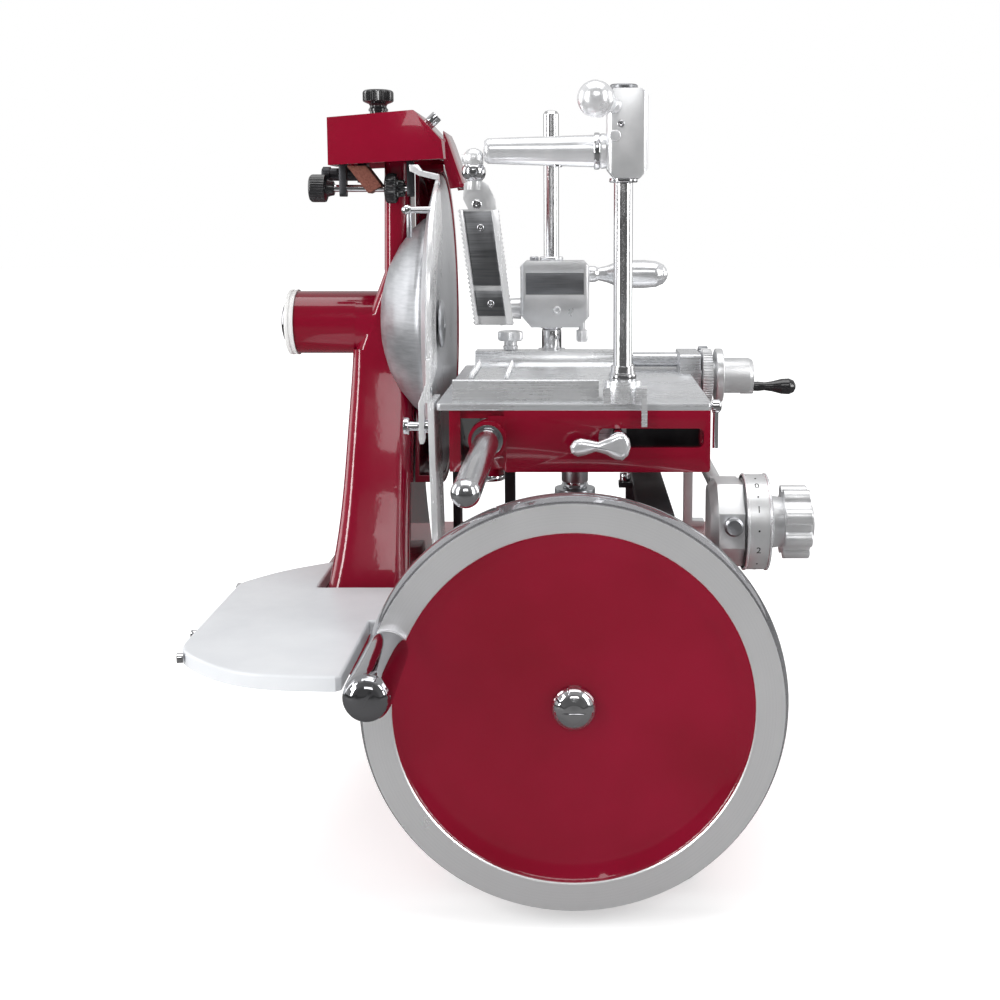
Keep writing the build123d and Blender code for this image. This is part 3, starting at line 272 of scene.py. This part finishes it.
# dark steel of the rail stands, flat rail and sharpener block; also the painted shade plate behind the carriage slot
M["steel_dark"] = cast_metal("blued_steel_and_shade_plate", (0.035, 0.036, 0.040), (0.075, 0.076, 0.082), 0.38, 500.0, 0.15, metal=0.8)
M["guard"] = brushed("guard_polished_steel", (0.86, 0.87, 0.89), (0.97, 0.97, 0.98), 0.24, (300, 300, 30), metal=0.55, depth=0.05)
M["insert"] = brushed("dark_milled_pad", (0.20, 0.205, 0.215), (0.34, 0.345, 0.36), 0.36, (20, 900, 900), depth=0.25)
M["black"] = plastic("black_knob", (0.010, 0.010, 0.011), (0.020, 0.020, 0.022), 0.22, coat=0.6, grain=420.0)
M["white"] = plastic("white_board", (0.60, 0.615, 0.64), (0.66, 0.675, 0.695), 0.34, grain=260.0, depth=0.03)
M["ring_white"] = plastic("white_ring", (0.66, 0.66, 0.65), (0.74, 0.74, 0.73), 0.30, grain=420.0, depth=0.04)
M["rubber"] = plastic("foot_rubber", (0.012, 0.012, 0.012), (0.026, 0.026, 0.026), 0.75, grain=1100.0, depth=0.35)
M["bronze"] = cast_metal("oiled_bronze", (0.38, 0.22, 0.07), (0.60, 0.40, 0.16), 0.32, 500.0, 0.12)
M["ink"] = plastic("dial_ink", (0.010, 0.010, 0.011), (0.018, 0.018, 0.019), 0.45, grain=600.0)

# bonded abrasive: coarse brown-red grains
m, nt, b = new_mat("sharpening_stone", (0.16, 0.045, 0.028), 0.85)
v = coords(nt)
g = noise(nt, v, 900.0, 3.0, 0.7)
nt.links.new(ramp(nt, g, [(0.35, (0.085, 0.022, 0.014)), (0.65, (0.23, 0.075, 0.05))]), b.inputs["Base Color"])
bump(nt, b, g, 0.6, 0.0004)
M["stone"] = m

USE = {
    "red": ["base_casting", "column", "sharpener_hood", "ring_guard", "flywheel_disc", "carriage_body"],
    "rim_face": ["flywheel_rim"],
    "chrome": ["wheel_cap_nut", "handle_axle", "carriage_fittings", "case_screws"],
    # crank handle in the darkened plating: painted dark reflection
    "chrome_painted_dark": ["crank_handle"],
    "alu": ["front_head", "rear_head", "control_housing", "dial_ring", "dial_knob", "feed_gear", "feed_crank", "slot_lever", "tray_knob",
            "rear_knob", "control_bracket", "press_plate", "press_backing"],
    "alu_bright": ["front_grip", "rear_grip", "press_arm"],
    "plate": ["carriage_plate"],
    "tray": ["meat_tray"],
    "col": ["tray_columns"],
    "rail": ["guide_rail"],
    "dome": ["slice_dome"],
    "knife": ["knife"],
    "guard": ["slice_strip", "guard_bar"],
    "steel": ["main_shaft", "main_bevel_gears", "crank_shaft", "crank_arm", "cross_shaft", "knife_shaft", "carriage_roller",
              "connecting_rod", "feed_screw", "push_button", "drive_chain"],
    "steel_dark": ["rail_stands", "flat_rail", "sharpener_block"],
    "black": ["feed_handle", "sharpener_knob", "grind_knob", "hone_knob"],
    "white": ["receiving_plate", "hub_cap"],
    "rubber": ["foot_pads"],
    "bronze": ["shaft_bushes"],
    "stone": ["grind_stone"],
}
for key, names in USE.items():
    for n in names:
        if n in nodes:
            o = nodes[n]
            o.data.materials.clear()
            o.data.materials.append(M[key])


# ------------------------------------------------------------------ smoothing of the carried-over nodes
def smooth_group():
    g = bpy.data.node_groups.new("soft_by_angle", "GeometryNodeTree")
    g.interface.new_socket("Geometry", in_out="INPUT", socket_type="NodeSocketGeometry")
    s = g.interface.new_socket("Angle", in_out="INPUT", socket_type="NodeSocketFloat")
    s.default_value = 0.6
    g.interface.new_socket("Geometry", in_out="OUTPUT", socket_type="NodeSocketGeometry")
    gi, go = g.nodes.new("NodeGroupInput"), g.nodes.new("NodeGroupOutput")
    face = g.nodes.new("GeometryNodeSetShadeSmooth")
    face.domain = "FACE"
    edge = g.nodes.new("GeometryNodeSetShadeSmooth")
    edge.domain = "EDGE"
    ang = g.nodes.new("GeometryNodeInputMeshEdgeAngle")
    cmp = g.nodes.new("FunctionNodeCompare")
    cmp.data_type = "FLOAT"
    cmp.operation = "GREATER_THAN"
    g.links.new(ang.outputs["Unsigned Angle"], cmp.inputs[0])
    g.links.new(gi.outputs["Angle"], cmp.inputs[1])
    g.links.new(gi.outputs["Geometry"], face.inputs["Geometry"])
    g.links.new(face.outputs["Geometry"], edge.inputs["Geometry"])
    g.links.new(cmp.outputs["Result"], edge.inputs["Selection"])
    edge.inputs["Shade Smooth"].default_value = False
    g.links.new(edge.outputs["Geometry"], go.inputs["Geometry"])
    return g


SMOOTH = smooth_group()


def soften(o, width=0.6, segments=2, angle=32.0, weld=True):
    if "custom_normal" in o.data.attributes:
        o.data.attributes.remove(o.data.attributes["custom_normal"])
    if weld:
        w = o.modifiers.new("weld", "WELD")
        w.merge_threshold = 2e-6
    if width:
        bv = o.modifiers.new("bevel", "BEVEL")
        bv.width = width * MM
        bv.segments = segments
        bv.limit_method = "ANGLE"
        bv.angle_limit = math.radians(angle)
        bv.use_clamp_overlap = True
        bv.harden_normals = False
        bv.miter_outer = "MITER_ARC"
    s = o.modifiers.new("smooth", "NODES")
    s.node_group = SMOOTH


ROUND = {"base_casting": 0, "column": 0, "slice_dome": 0.3, "knife": 0, "drive_chain": 0, "main_bevel_gears": 0.2, "crank_shaft": 0.2,
         "cross_shaft": 0.2, "feed_gear": 0.15, "feed_screw": 0.15, "knife_shaft": 0.2, "flywheel_rim": 0, "flywheel_disc": 0,
         "press_plate": 0.25, "slice_strip": 0.25, "guard_bar": 0.5, "guide_rail": 0, "tray_columns": 0.3, "crank_handle": 0.4,
         "wheel_cap_nut": 0.3, "meat_tray": 0.6, "receiving_plate": 0, "front_grip": 0, "rear_grip": 0, "ring_guard": 0.5}
for n, o in nodes.items():
    soften(o, ROUND.get(n, 0.6))

# ------------------------------------------------------------------ detail pieces
def g_lathe(prof, origin, axis, seg=72, radial=None, closed=False):
    """Turned shape; prof holds (place along the axis, radius) in mm."""
    o, w = Vector(origin), Vector(axis).normalized()
    u = w.orthogonal().normalized()
    v = w.cross(u)
    verts, faces, rings = [], [], []
    for a, r in prof:
        if r < 1e-6:
            rings.append([len(verts)])
            verts.append(o + w * a)
            continue
        ring = []
        for i in range(seg):
            t = 2 * math.pi * i / seg
            rr = radial(t, a, r) if radial else r
            ring.append(len(verts))
            verts.append(o + w * a + (u * math.cos(t) + v * math.sin(t)) * rr)
        rings.append(ring)
    pairs = list(zip(rings, rings[1:])) + ([(rings[-1], rings[0])] if closed else [])
    for p, q in pairs:
        for i in range(seg):
            j = (i + 1) % seg
            if len(p) == 1 and len(q) > 1:
                faces.append((p[0], q[i], q[j]))
            elif len(q) == 1 and len(p) > 1:
                faces.append((p[i], q[0], p[j]))
            elif len(p) > 1:
                faces.append((p[i], q[i], q[j], p[j]))
    return verts, faces


def knurl(n, depth, a0, a1):
    def f(t, a, r):
        if a0 - 1e-6 <= a <= a1 + 1e-6:
            return r - depth * abs(((t * n / (2 * math.pi)) % 1.0) - 0.5) * 2
        return r
    return f


def g_prism(points, origin, u, v, depth):
    """Polygon in the (u, v) plane through origin, pushed along u x v by depth."""
    o, u, v = Vector(origin), Vector(u), Vector(v)
    w = u.cross(v)
    n = len(points)
    verts = [o + u * a + v * b for a, b in points] + [o + u * a + v * b + w * depth for a, b in points]
    faces = [tuple(range(n))[::-1], tuple(range(n, 2 * n))] + [(i, (i + 1) % n, n + (i + 1) % n, n + i) for i in range(n)]
    return verts, faces


def g_box(x0, x1, y0, y1, z0, z1):
    return g_prism([(x0, y0), (x1, y0), (x1, y1), (x0, y1)], (0, 0, z0), (1, 0, 0), (0, 1, 0), z1 - z0)


def g_pillow(points, rows, u, v, origin=(0, 0, 0)):
    """Outline lifted in rows of (height, inset), for a softly rounded lever."""
    o, u, v = Vector(origin), Vector(u), Vector(v)
    w = u.cross(v)
    n = len(points)
    area2 = sum(points[i][0] * points[(i + 1) % n][1] - points[(i + 1) % n][0] * points[i][1] for i in range(n))
    sgn = 1 if area2 > 0 else -1
    norm = []
    for i in range(n):
        a, b = points[i - 1], points[(i + 1) % n]
        dx, dy = b[0] - a[0], b[1] - a[1]
        k = math.hypot(dx, dy)
        norm.append((-dy / k * sgn, dx / k * sgn))
    verts, faces = [], []
    for h, inset in rows:
        verts += [o + u * (p[0] + q[0] * inset) + v * (p[1] + q[1] * inset) + w * h for p, q in zip(points, norm)]
    for k in range(len(rows) - 1):
        faces += [(k * n + i, k * n + (i + 1) % n, (k + 1) * n + (i + 1) % n, (k + 1) * n + i) for i in range(n)]
    faces += [tuple(range(n))[::-1], tuple(range((len(rows) - 1) * n, len(rows) * n))]
    return verts, faces


def make(name, shapes, body, replaces=None, bevel=0.0, sub=0, angle=35):
    """One object from (shape, material) pairs."""
    me = bpy.data.meshes.new(name)
    verts, faces, index, mats = [], [], [], []
    for (vs, fs), mat in shapes:
        if mat not in mats:
            mats.append(mat)
        k = len(verts)
        verts += [tuple(c * MM for c in p) for p in vs]
        faces += [tuple(k + i for i in f) for f in fs]
        index += [mats.index(mat)] * len(fs)
    me.from_pydata(verts, [], faces)
    me.polygons.foreach_set("material_index", index)
    bm = bmesh.new()
    bm.from_mesh(me)
    bmesh.ops.recalc_face_normals(bm, faces=bm.faces)
    bm.to_mesh(me)
    bm.free()
    for mat in mats:
        me.materials.append(mat)
    o = bpy.data.objects.new(name, me)
    scene.collection.objects.link(o)
    if sub:
        sd = o.modifiers.new("sub", "SUBSURF")
        sd.levels = sd.render_levels = sub
    if bevel:
        bv = o.modifiers.new("bevel", "BEVEL")
        bv.width = bevel * MM
        bv.segments = 2
        bv.limit_method = "ANGLE"
        bv.angle_limit = math.radians(angle)
    sm = o.modifiers.new("smooth", "NODES")
    sm.node_group = SMOOTH
    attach(o, body)
    if replaces:
        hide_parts(*replaces)
    return o


AX, AY, AZ = (1, 0, 0), (0, 1, 0), (0, 0, 1)

# white ring and plated cap on the knife hub; the cap's darkened plating is a painted dark reflection
make("hub_ring_and_cap", [
    (g_lathe([(-279, 21), (-279, 33), (-281, 33), (-281.6, 32.5), (-283.4, 32.5), (-284, 33), (-286.4, 33), (-287.5, 32.5), (-288, 31.4), (-288, 21)],
             (0, 0, 501), AX, 96, closed=True), M["ring_white"]),
    (g_lathe([(-287, 22.6), (-289.6, 22.6), (-290.4, 22.0), (-290.8, 20.2), (-292.6, 18.8), (-294, 14.5), (-295, 9), (-295.45, 4), (-295.5, 0)],
             (0, 0, 501), AX, 96), M["chrome_painted_dark"])],
    "base", ["hub_cap"])

# black fluted knobs of the sharpener
make("sharpener_top_knob", [
    (g_lathe([(691, 0), (691, 8.4), (710.2, 8.4), (710.4, 9.6), (712.4, 9.6), (713.4, 8.6), (715.4, 8.2), (717.2, 9.2), (718.6, 12.6), (719.6, 14.6),
              (720.6, 15.2), (728.2, 15.2), (729.6, 14.6), (730.6, 13.2), (731, 11.4), (730.4, 9.8), (730.2, 0)],
             (-194.2, -5, 0), AZ, 192, knurl(48, 0.75, 720, 729)), M["black"])],
    "sharpener_knob", ["sharpener_knob"])
make("grind_knob_fluted", [
    (g_lathe([(-256, 0), (-256, 9), (-255.4, 11.6), (-254, 13.0), (-252.6, 13.5), (-242, 13.5), (-240.4, 13.0), (-239.4, 11), (-238.6, 8.4),
              (-236.4, 7.6), (-232.6, 6.8), (-232, 5.4), (-232, 0)], (0, -44, 634), AX, 160, knurl(32, 0.8, -253, -241)), M["black"]),
    (g_lathe([(-233, 0), (-233, 3.5), (-160.4, 3.5), (-160, 3.1), (-160, 0)], (0, -44, 634), AX, 48), M["chrome"])],
    "grind_unit", ["grind_knob"])
make("hone_knob_fluted", [
    (g_lathe([(-182.8, 3.6), (-182.8, 10.5), (-182.2, 12.8), (-181, 14), (-179.8, 14.5), (-173.6, 14.5), (-172.4, 14), (-171.4, 12.4), (-170.8, 9.4),
              (-169.8, 8.3), (-165.4, 8.2), (-163.9, 7.2), (-163.5, 5.6), (-163.5, 3.6)], (0, -44, 634), AX, 192, knurl(32, 0.8, -180, -165), closed=True), M["black"])],
    "hone_unit", ["hone_knob"])

# knurled knobs of the table and the rear press
make("tray_knob_knurled", [
    (g_lathe([(455.9, 0), (455.9, 4), (461.6, 4), (461.6, 7.2), (463, 8), (466, 8), (467, 7), (471.6, 7), (471.6, 12), (472.4, 13.3), (473.4, 13.8),
              (480.4, 13.8), (481.6, 13.2), (482.3, 11.6), (482.5, 9), (481.9, 7.6), (481.9, 0)], (-71, 110, 0), AZ, 216, knurl(54, 0.6, 473, 481)), M["alu"])],
    "tray_knob", ["tray_knob"])
make("rear_knob_knurled", [
    (g_lathe([(499.5, 0), (499.5, 3.5), (483.6, 3.5), (482.4, 4.4), (482, 5.8), (481.4, 6.5), (471, 6.5), (469.8, 6.0), (469, 5), (469, 0)],
             (8, 126, 0), AZ, 144, knurl(36, 0.45, 471, 481.5)), M["alu"])],
    "rear_knob", ["rear_knob"])

# egg grip of the front press
ex = Vector((18.5, -198.0, 705.0)) - Vector((34.5, -169.4, 702.0))
make("front_grip_egg", [
    (g_lathe([(0, 0), (0, 7), (3.2, 7), (4.6, 6.3), (7.5, 6.0), (11, 6.9), (15, 9.2), (20, 12.2), (26, 14.6), (32, 15.5), (37, 15.2), (41.5, 13.4),
              (45.2, 10.2), (47.4, 6.2), (48.3, 2.6), (48.5, 0)], (34.5, -169.4, 702.0), ex, 48), M["alu_bright"])],
    "front_grip", ["front_grip"])

# slot lever: a soft two-lobed handle on its boss
lever = [(49, 412), (44.5, 417.2), (38, 417.4), (30, 413.6), (21, 409.8), (13, 411.6), (6, 412.9), (0, 411), (-4, 405.4), (-2.6, 399.2), (3, 396.2),
         (10, 397.4), (19, 400.6), (28, 398.2), (36, 393.6), (43, 392.8), (48, 397.6), (50.2, 405)]
make("slot_lever_soft", [
    (g_pillow([(a, b) for a, b in lever], [(178, 2.6), (178.9, 0.7), (181.4, 0.1), (184.2, 0.6), (186.2, 2.6), (187, 5.2)], (1, 0, 0), (0, 0, 1)),
     M["alu_bright"]),
    (g_lathe([(-140, 0), (-140, 6), (-157, 6), (-157, 8.2), (-178.6, 8.2), (-178.6, 0)], (39, 0, 410), AY, 48), M["chrome"])],
    "slot_lever", ["slot_lever"], sub=0)

# dark plate behind the carriage's front slot: painted shade, so the slot reads black instead of open
make("slot_shade_plate", [(g_box(14, 120, -136, -134.6, 392, 430), M["steel_dark"])], "carriage")

# heads of the two presses: dark milled pads, plug, wiper rings, set screws
make("front_head_trim", [
    (g_box(63.05, 64.1, -164.4, -139.6, 674.6, 705.4), M["insert"]),
    (g_lathe([(-168.9, 0), (-168.9, 5.0), (-170.0, 5.0), (-170.5, 4.3), (-170.5, 0)], (35.5, 0, 676.5), AY, 40), M["alu_bright"]),
    (g_lathe([(717, 8.7), (717, 11.6), (717.6, 12.2), (720.4, 12.2), (721.4, 11.2), (721.4, 8.7)], (43.5, -152, 0), AZ, 64, closed=True), M["insert"]),
    (g_lathe([(-168.9, 0), (-168.9, 3.2), (-170.6, 3.2), (-171.2, 2.6), (-171.2, 1.4), (-170.4, 1.3), (-170.4, 0)], (40.5, 0, 686.5), AY, 32), M["chrome"]),
    (g_lathe([(640.2, 8.8), (640.2, 12.6), (637.4, 12.6), (636.6, 11.8), (636.6, 8.8)], (43.5, -152, 0), AZ, 64, closed=True), M["chrome"])],
    "front_press", bevel=0.3)
make("arm_trim", [
    (g_lathe([(654, 0), (654, 4.6), (650.6, 4.6), (650, 4.0), (650, 0)], (-15, -152, 0), AZ, 40), M["chrome"]),
    (g_lathe([(22.4, 14.4), (22.4, 15.6), (21.6, 16.1), (18.4, 16.1), (17.6, 15.6), (17.6, 14.4)], (0, -152, 664), AX, 80, closed=True), M["chrome"])],
    "front_press")
make("rear_head_trim", [
    (g_box(-53.6, 9.6, 108.9, 110.45, 522.4, 545.6), M["insert"]),
    (g_lathe([(559, 0), (559, 5.2), (562.4, 5.2), (563.4, 4.2), (563.4, 2.2), (562.4, 2.0), (562.4, 0)], (-45, 126, 0), AZ, 6), M["steel"]),
    (g_lathe([(559, 8.8), (559, 12.4), (560, 13), (562.4, 13), (563.4, 12.2), (563.4, 8.8)], (-26, 126, 0), AZ, 64, closed=True), M["alu_bright"]),
    (g_lathe([(486, 8.8), (486, 12.4), (484.6, 12.4), (484, 11.6), (484, 8.8)], (-26, 126, 0), AZ, 64, closed=True), M["chrome"]),
    (g_lathe([(108.9, 0), (108.9, 4.4), (107.9, 4.4), (107.5, 3.8), (107.5, 2.2), (108.4, 2.0), (108.4, 0)], (-20, 0, 505), AY, 40), M["alu_bright"])],
    "rear_press", bevel=0.3)

# press plate: dark channel, end strips, two screws and the lower ball of its joint
def lean_x(x, z):
    return x + 13.0 * (613.0 - z) / 102.0


def lean_box(x0, x1, z0, z1, y0, y1):
    return g_prism([(lean_x(x0, z0), z0), (lean_x(x1, z0), z0), (lean_x(x1, z1), z1), (lean_x(x0, z1), z1)], (0, y1, 0), (1, 0, 0), (0, 0, 1), y1 - y0)


screw = lambda x, y, z, r: g_lathe([(y, 0), (y, r), (y - 0.9, r), (y - 1.4, r * 0.8), (y - 1.4, r * 0.34), (y - 0.8, r * 0.3), (y - 0.8, 0)], (x, 0, z), AY, 40)
make("press_plate_channel", [
    (lean_box(-97.6, -73.4, 546, 611.4, -159.3, -158.3), M["insert"]),
    (lean_box(-97.6, -73.4, 519, 541.5, -159.3, -158.3), M["insert"]),
    (lean_box(-100.6, -98.2, 512, 612.6, -160.6, -158.4), M["guard"]),
    (lean_box(-72.8, -67.0, 512, 612.6, -161.6, -158.4), M["guard"]),
    (screw(lean_x(-84.5, 597), -159.3, 597, 3.1), M["chrome"]),
    (screw(lean_x(-84.5, 530), -159.3, 530, 3.1), M["chrome"]),
    (screw(-85.5, -160.0, 617.5, 4.2), M["chrome"]),
    (g_lathe([(636.2, 0), (636.5, 3.2), (638, 7), (640.6, 9.3), (643.6, 10.5), (646.6, 10.7), (649.6, 10.0), (651.6, 8.6), (652.6, 7.2), (653.4, 0)],
             (-88.5, -152, 0), AZ, 64), M["chrome"]),
    (g_lathe([(-161.2, 0), (-161.2, 4.0), (-162.7, 3.8), (-162.9, 3.2), (-161.9, 2.6), (-161.9, 0)], (-88.5, 0, 645), AY, 40), M["insert"])],
    "press_plate", bevel=0.2)

# rows of small spikes that hold the meat on the table
spikes = []
for x in (-103.0, -68.0):
    spikes.append((g_box(x - 2.2, x + 2.2, -36, 84, 446.0, 447.4), M["steel"]))
    for i in range(15):
        spikes.append((g_lathe([(446.6, 2.3), (449.4, 1.7), (453.6, 0.5), (454.4, 0)], (x, -33 + i * 8.14, 0), AZ, 10), M["guard"]))
make("table_spikes", spikes, "tray", bevel=0.0)

# bracket, pin and rod at the top of the knife guard, and its small screws
make("guard_trim", [
    (g_prism([(-157, 656), (-149, 656), (-145, 650.5), (-129.4, 647), (-129.4, 642.2), (-134, 642.2), (-148, 645.5), (-157, 650)],
             (0, -50, 0), (1, 0, 0), (0, 0, 1), 12), M["guard"]),
    (g_lathe([(-132.6, 0), (-132.6, 3.4), (-151, 3.0), (-152, 3.4), (-154, 4.6), (-156.4, 4.9), (-158.8, 4.0), (-160.2, 2.2), (-160.6, 0)],
             (0, -96, 613), AX, 40), M["chrome"]),
    (g_lathe([(613, 0), (613, 2.5), (588, 2.5), (587, 2.0), (587, 0)], (-153.5, -96, 0), AZ, 32), M["steel"]),
    (g_lathe([(-129.2, 0), (-129.2, 3.2), (-128.4, 3.2), (-127.8, 2.4), (-127.8, 0)], (0, -62, 637), AX, 32), M["steel"]),
    (g_lathe([(-129.2, 0), (-129.2, 3.2), (-128.4, 3.2), (-127.8, 2.4), (-127.8, 0)], (0, -152, 452), AX, 32), M["steel"])],
    "base", bevel=0.3)
make("knife_boss", [
    (g_lathe([(-135.6, 0), (-135.6, 24), (-134.6, 24), (-133.4, 22.4), (-132.2, 16), (-131.7, 10), (-131.7, 4.4), (-132.6, 4.0), (-132.6, 0)],
             (0, 0, 499), AX, 80), M["steel"])], "knife")

# thickness dial: raised rims, neck, digits and dots wrapped round the drum
DX0, DX1 = 153.5, 176.0
DIAL_Y, DIAL_Z, DIAL_R = -145.0, 329.0, 43.5
make("dial_rims", [
    (g_lathe([(DX0, 40), (DX0, 43.9), (DX0 + 0.5, 44.4), (DX0 + 1.9, 44.4), (DX0 + 2.4, 43.9), (DX0 + 2.4, 40)], (0, DIAL_Y, DIAL_Z), AX, 128, closed=True), M["alu_bright"]),
    (g_lathe([(DX1 - 2.4, 40), (DX1 - 2.4, 43.9), (DX1 - 1.9, 44.4), (DX1 - 0.6, 44.4), (DX1, 43.6), (DX1 + 0.4, 40)], (0, DIAL_Y, DIAL_Z), AX, 128, closed=True), M["alu_bright"]),
    (g_lathe([(DX1, 21), (DX1, 24.5), (DX1 + 1.2, 25.4), (DX1 + 3, 25.4), (DX1 + 4.4, 24), (190, 22.4), (190.4, 21)], (0, DIAL_Y, DIAL_Z), AX, 96, closed=True), M["alu"])],
    "dial")


def wrapped(char, size, x, phi, lift=0.12):
    cu = bpy.data.curves.new("t", "FONT")
    cu.body = char
    cu.size = size
    cu.align_x, cu.align_y = "CENTER", "CENTER"
    cu.resolution_u = 4
    t = bpy.data.objects.new("t", cu)
    scene.collection.objects.link(t)
    bpy.context.view_layer.update()
    me = bpy.data.meshes.new_from_object(t.evaluated_get(bpy.context.evaluated_depsgraph_get()))
    bm = bmesh.new()
    bm.from_mesh(me)
    bmesh.ops.triangulate(bm, faces=bm.faces)
    ext = bmesh.ops.extrude_face_region(bm, geom=bm.faces[:])
    for q in ext["geom"]:
        if isinstance(q, bmesh.types.BMVert):
            q.co.z += 1.0
    vs, fs = [], []
    bm.verts.ensure_lookup_table()
    for q in bm.verts:
        a = phi + q.co.y / DIAL_R
        r = DIAL_R - 0.1 + (lift + 0.1) * (1 if q.co.z > 0.5 else 0)
        vs.append(Vector((x + q.co.x, DIAL_Y - r * math.cos(a), DIAL_Z + r * math.sin(a))))
    for f in bm.faces:
        fs.append(tuple(q.index for q in f.verts))
    bm.free()
    bpy.data.objects.remove(t)
    return vs, fs


marks = []
for i, phi in enumerate((60, 27, -23, -70, -112, -154, -196, -238)):
    marks.append((wrapped(str(i), 9.0, DX0 + 10.5, math.radians(phi)), M["ink"]))
for phi in (43.5, 2, -46.5, -91, -133, -175, -217, 76):
    for dx in (10.5,):
        a = math.radians(phi)
        c = Vector((DX0 + dx, DIAL_Y - (DIAL_R - 0.2) * math.cos(a), DIAL_Z + (DIAL_R - 0.2) * math.sin(a)))
        marks.append((g_lathe([(0, 0), (0, 0.9), (0.34, 0.9), (0.34, 0)], c, (0, -math.cos(a), math.sin(a)), 16), M["ink"]))
make("dial_figures", marks, "dial")

# ------------------------------------------------------------------ floor, light, camera
def area(name, loc, target, size, size_y, power, colour=(1, 1, 1)):
    d = bpy.data.lights.new(name, "AREA")
    d.shape = "RECTANGLE"
    d.size, d.size_y = size, size_y
    d.energy = power
    d.color = colour
    o = bpy.data.objects.new(name, d)
    scene.collection.objects.link(o)
    o.location = loc
    o.rotation_euler = (Vector(target) - Vector(loc)).to_track_quat("-Z", "Y").to_euler()
    return o


fl = bpy.data.meshes.new("floor")
bm = bmesh.new()
bmesh.ops.create_grid(bm, x_segments=2, y_segments=2, size=14.0)
bm.to_mesh(fl)
bm.free()
floor = bpy.data.objects.new("floor", fl)
scene.collection.objects.link(floor)
fm, nt, b = new_mat("pale_floor", (0.80, 0.80, 0.80), 0.8)
nt.links.new(ramp(nt, noise(nt, coords(nt), 6.0, 3.0), [(0.3, (0.79, 0.79, 0.79)), (0.7, (0.81, 0.81, 0.81))]), b.inputs["Base Color"])
b.inputs["Specular IOR Level"].default_value = 0.0
b.inputs["Emission Color"].default_value = (1, 1, 1, 1)
far = nt.nodes.new("ShaderNodeSeparateXYZ")
nt.links.new(ring_coords(nt, "Z", (0, 0, 0), 1.0), far.inputs[0])
nt.links.new(remap(nt, far.outputs[0], 0.45, 1.02, 0.4, 3.0), b.inputs["Emission Strength"])
dark = nt.nodes.new("ShaderNodeBsdfDiffuse")
dark.inputs["Color"].default_value = (0.14, 0.14, 0.14, 1)
lp = nt.nodes.new("ShaderNodeLightPath")
mixs = nt.nodes.new("ShaderNodeMixShader")
nt.links.new(lp.outputs["Is Glossy Ray"], mixs.inputs[0])
nt.links.new(b.outputs[0], mixs.inputs[1])
nt.links.new(dark.outputs[0], mixs.inputs[2])
nt.links.new(mixs.outputs[0], nt.nodes["Material Output"].inputs["Surface"])
fl.materials.append(fm)

area("key_left", (-1.55, -1.15, 1.0), (-0.1, 0, 0.40), 0.34, 1.5, 21)
area("key_right", (1.65, -1.0, 1.1), (0, 0, 0.40), 0.45, 1.6, 15)
area("side_left", (-2.1, 0.5, 1.0), (0, 0, 0.40), 0.9, 1.5, 9)
area("side_right", (2.1, 0.6, 1.0), (0, 0, 0.40), 0.9, 1.5, 8)
area("top", (0, -0.1, 2.2), (0, 0, 0.3), 1.9, 1.3, 19)
area("front_high", (0.1, -2.5, 1.9), (0, 0, 0.3), 1.5, 0.7, 10)

world = bpy.data.worlds.new("studio")
scene.world = world
world.use_nodes = True
nt = world.node_tree
bg = nt.nodes["Background"]
tc = nt.nodes.new("ShaderNodeTexCoord")
sep = nt.nodes.new("ShaderNodeSeparateXYZ")
nt.links.new(tc.outputs["Generated"], sep.inputs[0])
mr = nt.nodes.new("ShaderNodeMapRange")
mr.interpolation_type = "SMOOTHSTEP"
mr.inputs["From Min"].default_value = -0.9
mr.inputs["From Max"].default_value = 0.25
mr.inputs["To Min"].default_value = 0.10
mr.inputs["To Max"].default_value = 0.55
nt.links.new(sep.outputs["Y"], mr.inputs["Value"])
lp = nt.nodes.new("ShaderNodeLightPath")
mx = nt.nodes.new("ShaderNodeMix")
nt.links.new(lp.outputs["Is Camera Ray"], mx.inputs["Factor"])
nt.links.new(mr.outputs["Result"], mx.inputs["A"])
mx.inputs["B"].default_value = 1.0
nt.links.new(mx.outputs["Result"], bg.inputs["Strength"])
bg.inputs["Color"].default_value = (1.0, 1.0, 1.0, 1)

cam = bpy.data.cameras.new("camera")
cam.sensor_width = 36
cam.lens = 46.08
cam.shift_x, cam.shift_y = -0.078, -0.122
co = bpy.data.objects.new("camera", cam)
scene.collection.objects.link(co)
co.location = (0.0034, -1.295, 0.605)
co.rotation_euler = (math.radians(90 - 7.1), 0, 0)
scene.camera = co
